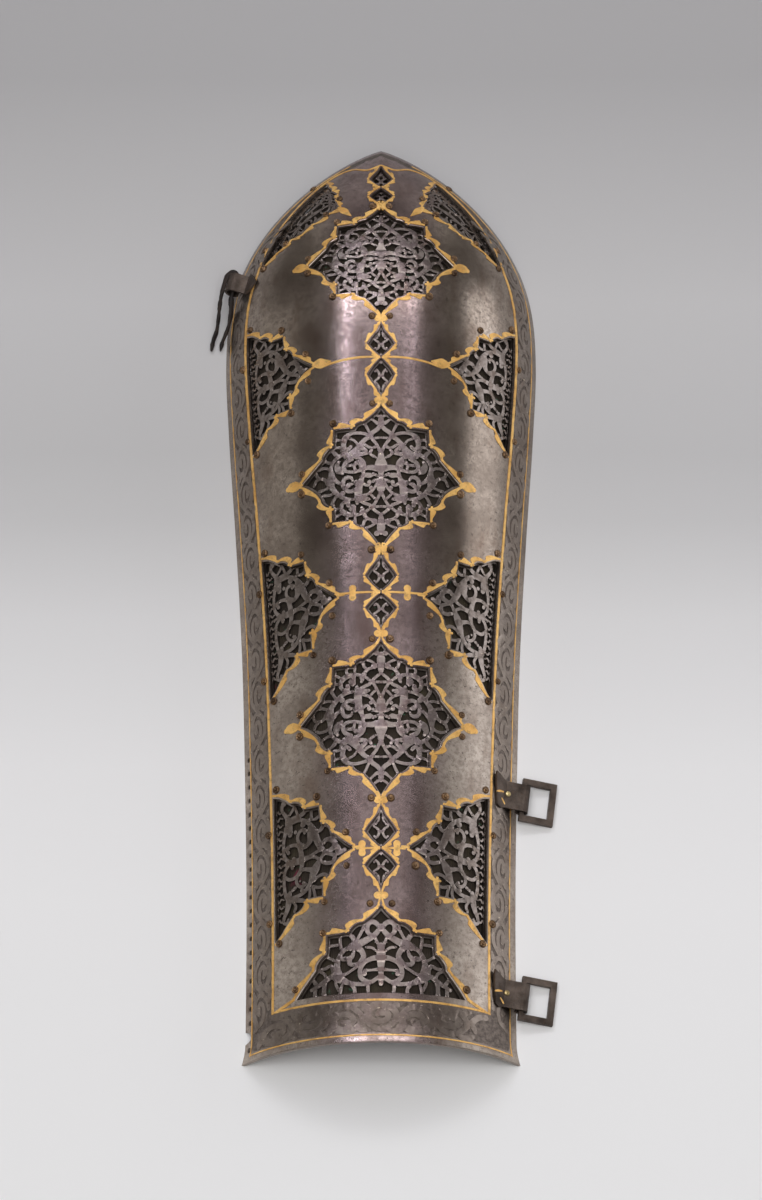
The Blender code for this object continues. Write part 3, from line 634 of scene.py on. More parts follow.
sideLower = (
    ((0.0, 1.0), (0.09, 0.92), (0.18, 0.81), (0.27, 0.705)),
    ((0.27, 0.705), (0.34, 0.68), (0.39, 0.63), (0.415, 0.56)),
    ((0.415, 0.56), (0.50, 0.55), (0.63, 0.545)),
    ((0.63, 0.545), (0.63, 0.44), (0.635, 0.335)),
    ((0.635, 0.335), (0.68, 0.33), (0.72, 0.285), (0.735, 0.235)),
    ((0.735, 0.235), (0.79, 0.15), (0.89, 0.06), (1.0, 0.0)),
)
firstSideLower = (
    ((0.0, 1.0), (0.16, 0.93), (0.30, 0.87), (0.42, 0.80)),
    ((0.42, 0.80), (0.52, 0.76), (0.60, 0.69), (0.66, 0.61)),
    ((0.66, 0.61), (0.76, 0.575), (0.87, 0.52)),
    ((0.87, 0.52), (0.88, 0.43), (0.89, 0.34)),
    ((0.89, 0.34), (0.95, 0.30), (0.97, 0.22), (0.955, 0.14)),
    ((0.955, 0.14), (0.985, 0.08), (1.0, 0.0)),
)
lobes = {
    "lozenges": ((1, 287.6, 23.3, 25.6), (2, 203.0, 26.2, 27.2), (3, 114.6, 27.8, 27.2)),
    "half": (17.4, 30.0, 28.0),  # base, length, half width
    "pairs": ((1, 321.3, 11.8, 9.2, 3.7), (2, 247.7, 12.6, 15.0, 4.4), (3, 160.5, 14.6, 13.0, 4.9),
              (4, 68.1, 14.8, 13.6, 5.0)),  # number, bar, above, below, half width
    "pairGap": 1.2,
    "pairCorner": 0.40,
    "border": 14.6,
    "sides": ((1, 337.0, 11.4, 7.0, 39.0), (2, 245.4, 28.8, 22.1, 24.9), (3, 158.3, 28.8, 21.0, 31.0),
              (4, 68.1, 29.6, 23.0, 28.6)),  # number, tip station along the edge, reach, above, below
    "lean": 8.8,  # how much nearer the edge the first side opening starts at its upper end
}


def quarterRuns(signX, signY, width, length, table):
    return [smoothLine([(signX * u * width, signY * v * length) for u, v in run], 0.6) for run in table]


def joinRuns(runs):
    return np.concatenate([run[:-1] for run in runs] + [runs[-1][-1:]])


def lozengeLoop(halfLength, halfWidth, station):
    loop = []
    for signX, signY, table in ((1, 1, lozengeUpper), (-1, 1, lozengeUpper), (-1, -1, lozengeLower),
                                (1, -1, lozengeLower)):
        quarter = joinRuns(quarterRuns(signX, signY, halfWidth, halfLength, table))
        loop.append(quarter[::-1][:-1] if signX * signY > 0 else quarter[:-1])
    return np.concatenate(loop) + (0.0, station)


def halfArch():
    base, length, width = lobes["half"]
    right, left = (joinRuns(quarterRuns(sign, 1, width, length, halfUpper)) for sign in (1, -1))
    return np.concatenate((right[::-1][:-1], left)) + (0.0, base)


def halfLoop():
    base, _, width = lobes["half"]
    rail = np.stack((np.linspace(-width, width, 41)[1:-1], np.full(39, base)), 1)
    return np.concatenate((halfArch(), rail))


def pairRuns(row, sign):
    # Right-hand runs of the opening above (sign 1) or below (sign -1) the bar: to the corner, then to the tip
    _, bar, above, below, width = row
    start = lobes["pairGap"] / 2
    reach = (above if sign > 0 else below) - start
    corner = lobes["pairCorner"]
    inner = ((0.0, 0.0), (0.25, 0.085), (0.62, 0.22), (1.0, corner))
    outer = ((1.0, corner), (0.78, 0.53), (0.50, 0.66), (0.22, 0.80), (0.0, 1.0))
    return [
        smoothLine([(u * width, bar + sign * (start + v * reach)) for u, v in run], 0.6)
        for run in (inner, outer)
    ]


def pairLoops(row):
    loops = []
    for sign in (1, -1):
        right = joinRuns(pairRuns(row, sign))
        loops.append(np.concatenate((right, right[-2:0:-1] * (-1.0, 1.0))))
    return loops


def leaning(row, points):
    # Places in (inward, along) beside the tip corner of a side opening
    number, tip, reach, above, below = row
    points = np.array(points, float) + (lobes["border"], tip)
    if number == 1:
        share = (points[:, 1] - tip + below) / (above + below)
        away = 1 - (points[:, 0] - lobes["border"]) / reach
        points[:, 0] -= lobes["lean"] * np.clip(share, 0.0, 1.1) * np.clip(away, 0.0, 1.3)
    return points


def sideRuns(row):
    # Lobed runs in (inward, along): six above the tip, then six below it
    number, _, reach, above, below = row
    lower = firstSideLower if number == 1 else sideLower
    runs = quarterRuns(1, 1, reach, above, sideUpper) + quarterRuns(1, -1, reach, below, lower)
    return [leaning(row, run) for run in runs]


def sideArch(row):
    runs = sideRuns(row)
    return np.concatenate((joinRuns(runs[:6]), joinRuns(runs[6:])[::-1][1:]))


def sideRail(row, count):
    # The straight outer side, from the lower end up
    _, _, _, above, below = row
    along = np.linspace(-below, above, count)
    return leaning(row, np.stack((0.0 * along, along), 1))


def sideLoop(row, side):
    rail = sideRail(row, int((row[3] + row[4]) / 1.2) + 1)
    return fromEdge(np.concatenate((sideArch(row), rail[1:-1])), side)


# The plate

edgeWork = {
    "holes": 20, "firstHole": 14.3, "pitch": 5.0, "radius": 0.85, "inset": 2.5, "cornerHole": 5.0,
    "notch": 9.4, "notchHalf": 2.2, "notchDepth": 1.7,
}


def plateOutline():
    along = np.concatenate((np.arange(0.0, 8.0, 1.0), np.arange(8.0, edgeLength, 2.0)))
    right = np.stack([np.interp(along, edgeAlong, edgeLine[:, i]) for i in (0, 1)], 1)
    left = right[::-1] * (-1.0, 1.0)
    low = edgeWork["notch"] - edgeWork["notchHalf"]
    high = edgeWork["notch"] + edgeWork["notchHalf"]
    above = left[left[:, 1] > high + 0.4]
    under = left[left[:, 1] < low - 0.4]
    notch = []
    for share in np.linspace(1.0, -1.0, 9):
        y = edgeWork["notch"] + share * edgeWork["notchHalf"]
        depth = edgeWork["notchDepth"] * (1 - abs(share) ** 3)
        notch.append((-planHalf(np.array(y)) + depth, y))
    rim = [(math.sin(s) / math.sin(1.0) * float(planHalf(np.array(0.0))), 0.0)
           for s in np.linspace(-1.0, 1.0, 61)[1:-1]]
    return np.concatenate((right, [(0.0, plate["tip"])], above, notch, under, rim))


def buildPlate():
    loops = [plateOutline()]
    loops += [lozengeLoop(length, width, station) for _, station, length, width in lobes["lozenges"]]
    loops.append(halfLoop())
    for row in lobes["pairs"]:
        loops += pairLoops(row)
    for row in lobes["sides"]:
        loops += [sideLoop(row, side) for side in (1, -1)]
    stations = [edgeWork["cornerHole"]]
    stations += [edgeWork["firstHole"] + edgeWork["pitch"] * i for i in range(edgeWork["holes"])]
    for station in stations:
        angles = np.arange(10) * 2 * math.pi / 10
        hole = np.stack((edgeWork["inset"] + edgeWork["radius"] * np.cos(angles),
                         station + edgeWork["radius"] * np.sin(angles)), 1)
        loops.append(fromEdge(hole, -1))
    coords, edges, faces, kinds = [], [], [], []
    for loop in loops:
        loop = np.asarray(counterClockwise(loop))
        first = len(coords)
        coords += list(loop)
        kinds += [1] * len(loop)
        faces.append(list(range(first, first + len(loop))))
        inset = sideways(loop, closed=True) * plate["chamfer"]
        ring = loop + (inset if first == 0 else -inset)
        start = len(coords)
        coords += list(ring)
        kinds += [0] * len(ring)
        edges += [(start + i, start + (i + 1) % len(ring)) for i in range(len(ring))]
    taken = np.array(coords)
    for inward in plate["domeRings"]:
        along = np.arange(plate["widest"] - 20.0, edgeLength - 1.0, 1.7)
        ring = fromEdge(np.stack((np.full(len(along), inward), along), 1))
        for point in np.concatenate((ring, ring * (-1.0, 1.0), [(0.0, plate["tip"] - 0.5 * inward)])):
            if np.hypot(*(taken - point).T).min() > 0.6:
                coords.append(point)
                kinds.append(0)
                taken = np.concatenate((taken, [point]))
    step = plate["grid"]
    for row, y in enumerate(np.arange(1.2, plate["tip"], step * 0.9)):
        half = float(planHalf(np.array(y)))
        halfAngle = 1.0
        count = max(2, int(half * 1.25 / step))
        shares = (np.arange(-count, count + 1) + 0.5 * (row % 2)) / count
        line = np.stack((np.sin(shares * halfAngle) / math.sin(halfAngle) * half, np.full(len(shares), y)), 1)
        for point in line[np.abs(line[:, 0]) < half - 0.4]:
            near = taken[np.abs(taken[:, 1] - y) < 1.0]
            if not len(near) or np.hypot(*(near - point).T).min() > 0.85:
                coords.append(point)
                kinds.append(0)
    flat, _, triangles, origins, _, sources = delaunay_2d_cdt(
        [Vector(c) for c in coords], edges, faces, 0, 1e-4
    )
    kept = [tuple(t) for t, source in zip(triangles, sources) if list(source) == [0]]
    points = np.array([tuple(p) for p in flat])
    onLoop = np.array([any(kinds[i] for i in origin) for origin in origins], float)
    used = sorted({i for t in kept for i in t})
    index = {old: new for new, old in enumerate(used)}
    kept = [tuple(index[i] for i in t) for t in kept]
    points, onLoop = points[used], onLoop[used]
    sides = set()
    for a, b, c in kept:
        for edge in ((a, b), (b, c), (c, a)):
            sides ^= {edge} if edge[::-1] not in sides else {edge[::-1]}
    count = len(points)
    upper = lift(points, onLoop * plate["chamferDrop"])
    lower = lift(points, np.full(count, plate["thickness"]))
    foot = (upper[:, 2] < 1.2) & (onLoop > 0)
    upper[foot] = lift(points[foot], 0.0)
    upper[:, 2] = np.maximum(upper[:, 2], 0.0)
    lower[:, 2] = np.maximum(lower[:, 2], 0.0)
    faces = list(kept)
    faces += [(c + count, b + count, a + count) for a, b, c in kept]
    faces += [(b, a, a + count, b + count) for a, b in sorted(sides)]
    piece = newPiece("guardPlate", place(np.concatenate((upper, lower))), faces, materials["plate"])
    setAttribute(piece, "rim", np.concatenate((onLoop, onLoop)))
    depth = bandDepth(points)
    setAttribute(piece, "band", np.concatenate((depth, np.zeros(count))))
    return finishPiece(piece, replaced=("shell",))


vine = {
    "sideOuter": 4.0, "sideInner": 13.3, "rimOuter": 3.0, "rimInner": 14.3,
    "period": 25.0, "rimPeriod": 23.0, "height": 0.12, "from": 17.0, "to": 322.0,
    "swell": 1.42, "narrows": (296.0, 342.0), "least": 5.0,  # where the band gets narrower, and to what
}


def bandDepth(points):
    # 0 at the outer gold line of the etched band, 1 at the inner one, on the sides and at the wrist
    rows, columns = chart.shape[:2]
    deepest = int(20.0 / chartStep["inward"])
    table = chart[:, :deepest].reshape(-1, 2)
    along, inward = np.divmod(np.arange(rows * deepest), deepest)
    side = np.full(len(points), 9.0)
    for i, (x, y) in enumerate(points):
        if abs(x) > 18.0 or y > 290.0:
            gaps = np.hypot(table[:, 0] - abs(x), table[:, 1] - y)
            best = gaps.argmin()
            if gaps[best] < 0.8:
                start = vine["sideOuter"]
                inner = innerLine(along[best] * chartStep["along"])
                side[i] = (inward[best] * chartStep["inward"] - start) / max(inner - start, 0.6)
    rim = (points[:, 1] - vine["rimOuter"]) / (vine["rimInner"] - vine["rimOuter"])
    return np.clip(np.minimum(side, rim), 0.0, 1.0)


def innerLine(along):
    # How far in from the edge the etched band ends
    return np.interp(along, vine["narrows"], (vine["sideInner"], vine["least"]))


buildPlate()
print("plate made")

# Gilt borders along the openings

gilt = {
    "offset": 1.0, "inner": 0.40, "outer": 0.30, "lobe": 1.30, "pairLobe": 0.85, "line": 0.36,
    "top": -0.12, "bottom": 0.2, "crown": 0.05, "sideLine": 0.5, "outerLine": 3.7,
    "rimLine": 2.5, "baseLine": 14.8, "knot": 1.25, "knotOut": 1.15, "knotShift": 0.4,
    "crossBars": {2: (20.0, 20.0), 3: (9.7, 9.0), 4: (6.3, 5.3)},  # how far out, left and right
    "crossLines": {2: 21.0, 3: 15.5, 4: 8.0},
    "crest": ((15.5, 333.0), (10.0, 334.0), (5.0, 332.0), (0.0, 334.0)),  # the inner line over the tip
}
leafProfile = ((0.0, 0.0), (0.18, 0.05), (0.36, 0.42), (0.55, 0.80), (0.72, 1.0), (0.79, 0.90), (0.85, 0.12),
               (1.0, 0.0))


def giltRun(run, outward, lobe, count=1):
    # A run of border hugging an opening, whose outer side swells into hooked leaves
    line = smoothLine(run + sideways(run) * gilt["offset"] * outward, 0.35)
    along = np.concatenate(([0.0], np.cumsum(np.hypot(*np.diff(line, axis=0).T))))
    share = along / along[-1] * count % 1.0
    swell = np.interp(share, *np.array(leafProfile).T)
    outer = gilt["outer"] + lobe * swell
    inner = np.full(len(line), gilt["inner"])
    left, right = (outer, inner) if outward > 0 else (inner, outer)
    polygons = band(line, left, right)
    for end in (0, -1):
        polygons += disc(line[end], gilt["inner"] * 1.15, 8)
    return polygons


def mapped(polygons, side):
    return [fromEdge(polygon, side) for polygon in polygons]


def lozengeGilt(station, length, width):
    polygons = []
    for signX in (1, -1):
        for signY, table in ((1, lozengeUpper), (-1, lozengeLower)):
            for run in quarterRuns(signX, signY, width, length, table):
                polygons += [np.array(p) + (0.0, station) for p in giltRun(run, signX * signY, gilt["lobe"])]
        polygons += disc((signX * (width + 2.9), station), 2.25, 14, 0.84)
        polygons += disc((signX * (width + 4.7), station - 0.4), 1.0, 10)
        polygons += plainStroke([(signX * (width + 0.6), station), (signX * (width + 2.4), station)], 1.5)
    return polygons


def halfGilt():
    base, length, width = lobes["half"]
    polygons = []
    for signX in (1, -1):
        for run in quarterRuns(signX, 1, width, length, halfUpper):
            polygons += [np.array(p) + (0.0, base) for p in giltRun(run, signX, gilt["lobe"])]
        foot = [(signX * (width + 0.9), base + 0.2, 0.9), (signX * (width + 3.6), base - 1.2, 1.1),
                (signX * (width + 6.6), base - 2.4, 0.6)]
        polygons += stroke(foot)
    return polygons


def pairGilt(row):
    polygons = []
    for sign in (1, -1):
        for number, run in enumerate(pairRuns(row, sign)):
            for part in giltRun(run, -sign, gilt["pairLobe"], 2):
                part = np.array(part)
                polygons += [part, part * (-1.0, 1.0)]
    return polygons


def knots():
    # Double balls where the tips of two openings meet
    polygons = []
    ends = [row[1] + row[2] for row in lobes["lozenges"]] + [row[1] - row[2] for row in lobes["lozenges"]]
    ends.append(lobes["half"][0] + lobes["half"][1])
    pairEnds = [row[1] + row[2] for row in lobes["pairs"]] + [row[1] - row[3] for row in lobes["pairs"]]
    for end in ends:
        nearest = min(pairEnds, key=lambda p: abs(p - end))
        middle = (end + nearest) / 2 + gilt["knotShift"]
        reach = abs(end - nearest) / 2 + 1.0
        for sign in (1, -1):
            polygons += disc((sign * gilt["knotOut"], middle), gilt["knot"], 14)
            for way in (1, -1):
                polygons += plainStroke([(sign * 1.25, middle + way * reach), (sign * 0.55, middle + way * 1.9),
                                         (sign * 0.3, middle + way * 0.9)], 0.62)
    return polygons


def finial(row):
    # At the tip of a side opening: a leaf on a short stalk by the elbow, a short stalk lower down
    number, _, reach, _, _ = row
    leaves = {1: (7.0, 3.5), 2: (6.0, 3.9)}
    if number not in leaves:
        return stroke([(*leaning(row, [(reach + out, 0.0)])[0], width) for out, width in ((0.4, 0.9), (2.6, 0.8))])
    long, wide = leaves[number]
    places = ((0.4, 0.9), (0.24 * long, 0.7 * wide), (0.55 * long, wide), (0.85 * long, 0.6 * wide),
              (long + 0.8, 0.7))
    return stroke([(*leaning(row, [(reach + out, 0.0)])[0], width) for out, width in places], 0.4)


def crossBars():
    # The bars and thin lines that join the side openings to the diamonds
    polygons = []
    for number, bar, *_ in lobes["pairs"]:
        if number not in gilt["crossBars"]:
            continue
        for side, out in zip((-1, 1), gilt["crossBars"][number]):
            reach = gilt["crossLines"][number]
            drop = 2.2 if number == 2 else 0.0
            line = [(0.6, bar), (0.4 * reach, bar), (0.75 * reach, bar - 0.4 * drop), (reach, bar - drop)]
            polygons += plainStroke([(side * x, y) for x, y in line], 0.72)
            if number > 2:
                polygons += plainStroke([(side * out, bar - 1.5), (side * out, bar + 1.5)], 2.1)
                for end in (-1, 1):
                    polygons += disc((side * out, bar + end * 1.6), 1.25, 12)
    return polygons


def buildLines():
    # Thin inlaid lines: both sides of the etched band, and the wrist
    width = gilt["line"]
    polygons = []
    inner = vine["sideInner"] + gilt["sideLine"]
    for side in (1, -1):
        outer = smoothLine([(gilt["outerLine"], 2.6), (gilt["outerLine"], 356.0)], 1.0)
        polygons += mapped(band(outer, np.full(len(outer), width * 0.7), np.full(len(outer), width * 0.7)), side)
        along = np.arange(14.4, 342.1, 1.0)
        line = fromEdge(np.stack((innerLine(along) + gilt["sideLine"], along), 1), side)
        crest = smoothLine([line[-2], line[-1]] + [(side * x, y) for x, y in gilt["crest"]], 1.0)
        line = np.concatenate((line[:-2], crest))
        polygons += band(line, np.full(len(line), width), np.full(len(line), width))
    for inward, y, half in ((inner, gilt["baseLine"], width), (gilt["outerLine"], gilt["rimLine"], width * 0.7)):
        corner = fromEdge([(inward, y)])[0][0]
        line = smoothLine([(-corner, y), (corner, y)], 1.0)
        polygons += band(line, np.full(len(line), half), np.full(len(line), half))
    return polygons


def buildGilt():
    middle = halfGilt() + knots() + crossBars()
    for _, station, length, width in lobes["lozenges"]:
        middle += lozengeGilt(station, length, width)
    for row in lobes["pairs"]:
        middle += pairGilt(row)
    sides = []
    for row in lobes["sides"]:
        local = finial(row)
        for number, run in enumerate(sideRuns(row)):
            local += giltRun(run, 1 if number < 6 else -1, gilt["lobe"])
        sides += mapped(local, 1) + mapped(local, -1)
    for name, polygons in (("giltBorders", middle), ("giltSideBorders", sides), ("giltLines", buildLines())):
        piece = unionSheet(name, polygons, gilt["top"], gilt["bottom"], materials["gold"], gilt["crown"])
        finishPiece(piece)


buildGilt()
print("gilt borders made")

# Openwork panels

openwork = {
    "top": 1.45, "bottom": 2.2, "crown": 0.12, "rimInner": 0.42, "rimOuter": 1.9, "flipShift": 0.09,
    "hooks": 2.3, "thicker": 0.2,
}
# Strokes of the right half: (across, along, width) as shares of the half sizes, widths of the half width
lozengeStrokes = (
    ((0, 0.86, 0.05), (0, 0.80, 0.10), (0, 0.72, 0.085), (0, 0.66, 0.07), (0, 0.60, 0.03)),
    ((0, 0.70, 0.06), (0.05, 0.71, 0.055), (0.09, 0.70, 0.07)),
    ((0.08, 0.735, 0.022), (0.13, 0.765, 0.024), (0.19, 0.79, 0.03)),
    ((0.10, 0.68, 0.03), (0.16, 0.665, 0.03), (0.20, 0.63, 0.035), (0.215, 0.60, 0.05)),
    ((0.19, 0.665, 0.03), (0.22, 0.70, 0.03), (0.225, 0.73, 0.03), (0.245, 0.76, 0.045)),
    ((0.01, 0.60, 0.032), (0.05, 0.57, 0.032), (0.095, 0.53, 0.034), (0.15, 0.465, 0.036), (0.20, 0.445, 0.036),
     (0.245, 0.41, 0.05), (0.28, 0.36, 0.08)),
    ((0.12, 0.505, 0.03), (0.10, 0.48, 0.03), (0.065, 0.42, 0.03), (0.035, 0.36, 0.03), (0.01, 0.30, 0.04)),
    ((0, 0.49, 0.028), (0.09, 0.495, 0.028)),
    ((0.14, 0.515, 0.03), (0.21, 0.565, 0.032), (0.30, 0.595, 0.036), (0.38, 0.595, 0.05), (0.46, 0.57, 0.062),
     (0.515, 0.51, 0.05), (0.51, 0.44, 0.04), (0.47, 0.405, 0.04), (0.43, 0.42, 0.05), (0.425, 0.455, 0.05)),
    ((0.335, 0.70, 0.03), (0.34, 0.60, 0.024), (0.34, 0.52, 0.024), (0.345, 0.485, 0.04)),
    ((0.31, 0.44, 0.03), (0.30, 0.39, 0.08), (0.295, 0.31, 0.095), (0.29, 0.22, 0.09), (0.27, 0.15, 0.085),
     (0.245, 0.08, 0.045), (0.225, -0.02, 0.036)),
    ((0.30, 0.16, 0.08), (0.325, 0.145, 0.07)),
    ((0.33, 0.24, 0.05), (0.40, 0.265, 0.045), (0.46, 0.235, 0.045), (0.495, 0.17, 0.045), (0.48, 0.09, 0.045),
     (0.43, 0.06, 0.045), (0.385, 0.075, 0.03), (0.37, 0.11, 0.02)),
    ((0.36, 0.375, 0.03), (0.43, 0.37, 0.04), (0.51, 0.335, 0.045), (0.58, 0.265, 0.05), (0.64, 0.18, 0.07),
     (0.655, 0.10, 0.11), (0.645, 0.02, 0.08), (0.65, -0.05, 0.05), (0.65, -0.11, 0.04), (0.61, -0.19, 0.04),
     (0.54, -0.25, 0.045), (0.46, -0.28, 0.06)),
    ((0.52, 0.145, 0.03), (0.57, 0.11, 0.04), (0.62, 0.05, 0.05)),
    ((0, 0.295, 0.05), (0, 0.25, 0.10), (0, 0.20, 0.095), (0, 0.15, 0.06), (0, 0.09, 0.05), (0, 0.03, 0.06),
     (0, -0.03, 0.10), (0, -0.10, 0.155), (0, -0.165, 0.11), (0, -0.22, 0.075), (0, -0.28, 0.06),
     (0, -0.32, 0.02)),
    ((0, 0.15, 0.07), (0.05, 0.125, 0.05), (0.10, 0.135, 0.036)),
    ((0.05, 0.15, 0.028), (0.07, 0.20, 0.028), (0.105, 0.255, 0.028), (0.155, 0.305, 0.03), (0.24, 0.335, 0.03)),
    ((0.235, 0.15, 0.03), (0.20, 0.185, 0.03), (0.165, 0.185, 0.03), (0.15, 0.145, 0.05)),
    ((0.065, 0.39, 0.026), (0.10, 0.355, 0.026), (0.14, 0.31, 0.026)),
    ((0, -0.02, 0.05), (0.06, -0.045, 0.07), (0.12, -0.06, 0.065), (0.20, -0.055, 0.05), (0.28, -0.025, 0.036),
     (0.36, -0.01, 0.034), (0.44, -0.02, 0.036), (0.485, -0.065, 0.042), (0.48, -0.12, 0.042),
     (0.44, -0.165, 0.05), (0.38, -0.19, 0.04)),
    ((0.34, -0.03, 0.03), (0.345, -0.08, 0.026), (0.38, -0.105, 0.03), (0.44, -0.10, 0.03)),
    ((0.315, -0.14, 0.055), (0.355, -0.112, 0.03)),
    ((0.21, -0.075, 0.036), (0.225, -0.14, 0.036), (0.27, -0.19, 0.036), (0.34, -0.22, 0.045)),
    ((0, -0.28, 0.05), (0.03, -0.33, 0.034), (0.06, -0.39, 0.032), (0.12, -0.47, 0.036)),
    ((0.13, -0.50, 0.045), (0.20, -0.465, 0.05), (0.26, -0.40, 0.06), (0.32, -0.31, 0.09), (0.39, -0.25, 0.105),
     (0.46, -0.235, 0.06)),
    ((0.13, -0.268, 0.01), (0.20, -0.262, 0.036), (0.30, -0.25, 0.06)),
    ((0.065, -0.20, 0.02), (0.10, -0.22, 0.03), (0.15, -0.255, 0.02)),
    ((0.14, -0.28, 0.036), (0.12, -0.33, 0.026), (0.16, -0.35, 0.03), (0.21, -0.385, 0.03)),
    ((0.12, -0.33, 0.02), (0.08, -0.35, 0.03), (0.055, -0.35, 0.022)),
    ((0.13, -0.495, 0.03), (0.20, -0.535, 0.035), (0.30, -0.558, 0.035), (0.40, -0.55, 0.042),
     (0.465, -0.50, 0.07), (0.49, -0.42, 0.06), (0.47, -0.35, 0.045), (0.43, -0.335, 0.04),
     (0.395, -0.37, 0.036)),
    ((0.31, -0.40, 0.026), (0.345, -0.45, 0.022), (0.42, -0.49, 0.03)),
    ((0.13, -0.49, 0.05), (0.12, -0.545, 0.05), (0.05, -0.60, 0.05), (0.01, -0.65, 0.05), (0, -0.69, 0.06),
     (0, -0.74, 0.065), (0, -0.785, 0.04)),
    ((0, -0.69, 0.04), (0.05, -0.69, 0.04), (0.10, -0.73, 0.024), (0.15, -0.775, 0.024)),
    ((0, -0.775, 0.026), (0.04, -0.79, 0.026), (0.09, -0.83, 0.024)),
    ((0.15, -0.545, 0.027), (0.175, -0.61, 0.027), (0.215, -0.69, 0.03)),
    ((0, -0.48, 0.024), (0.10, -0.475, 0.024)),
    ((0.43, 0.59, 0.03), (0.445, 0.65, 0.026), (0.44, 0.70, 0.03)),
    ((0.50, 0.55, 0.03), (0.55, 0.585, 0.026), (0.60, 0.60, 0.03)),
    ((0.515, 0.49, 0.03), (0.56, 0.49, 0.024), (0.61, 0.50, 0.03)),
    ((0.47, 0.405, 0.03), (0.46, 0.375, 0.03)),
    ((0.61, 0.44, 0.024), (0.635, 0.41, 0.036), (0.61, 0.36, 0.032), (0.57, 0.29, 0.03)),
    ((0.62, 0.27, 0.03), (0.68, 0.285, 0.028), (0.755, 0.275, 0.03)),
    ((0.67, 0.17, 0.03), (0.73, 0.195, 0.028), (0.80, 0.21, 0.04)),
    ((0.70, 0.13, 0.03), (0.72, 0.07, 0.036), (0.78, 0.035, 0.036), (0.84, 0.05, 0.03), (0.87, 0.12, 0.028)),
    ((0.78, 0.035, 0.03), (0.83, 0.00, 0.03), (0.85, -0.055, 0.03)),
    ((0.66, -0.06, 0.024), (0.71, -0.10, 0.03), (0.78, -0.105, 0.03), (0.83, -0.085, 0.024)),
    ((0.62, -0.17, 0.03), (0.68, -0.175, 0.03), (0.74, -0.21, 0.03)),
    ((0.57, -0.22, 0.03), (0.59, -0.28, 0.05), (0.63, -0.32, 0.03), (0.68, -0.35, 0.026)),
    ((0.50, -0.26, 0.03), (0.51, -0.33, 0.03), (0.53, -0.37, 0.03), (0.61, -0.37, 0.026)),
    ((0.49, -0.46, 0.03), (0.54, -0.475, 0.026), (0.61, -0.49, 0.03)),
)
lozengeFillers = (
    ((0.50, 0.0, 0.03), (0.55, -0.05, 0.085), (0.575, -0.12, 0.06), (0.55, -0.17, 0.03)),
    ((0.155, 0.385, 0.03), (0.20, 0.375, 0.06), (0.25, 0.385, 0.03)),
    ((0.38, 0.16, 0.03), (0.42, 0.17, 0.055), (0.45, 0.20, 0.04)),
    ((0.10, 0.03, 0.03), (0.14, 0.05, 0.06), (0.20, 0.045, 0.05), (0.25, 0.06, 0.03)),
    ((0.04, 0.06, 0.03), (0.10, 0.03, 0.03)),
    ((0.27, -0.06, 0.03), (0.26, -0.11, 0.06), (0.29, -0.15, 0.04)),
    ((0.20, -0.30, 0.05), (0.24, -0.34, 0.05), (0.26, -0.39, 0.03)),
    ((0.36, 0.47, 0.04), (0.385, 0.51, 0.06), (0.36, 0.55, 0.04)),
    ((0.25, 0.50, 0.03), (0.24, 0.54, 0.05), (0.27, 0.57, 0.03)),
)
lozengeBalls = ((0.055, 0.87, 0.036), (0.50, 0.28, 0.036), (0.13, 0.225, 0.026))
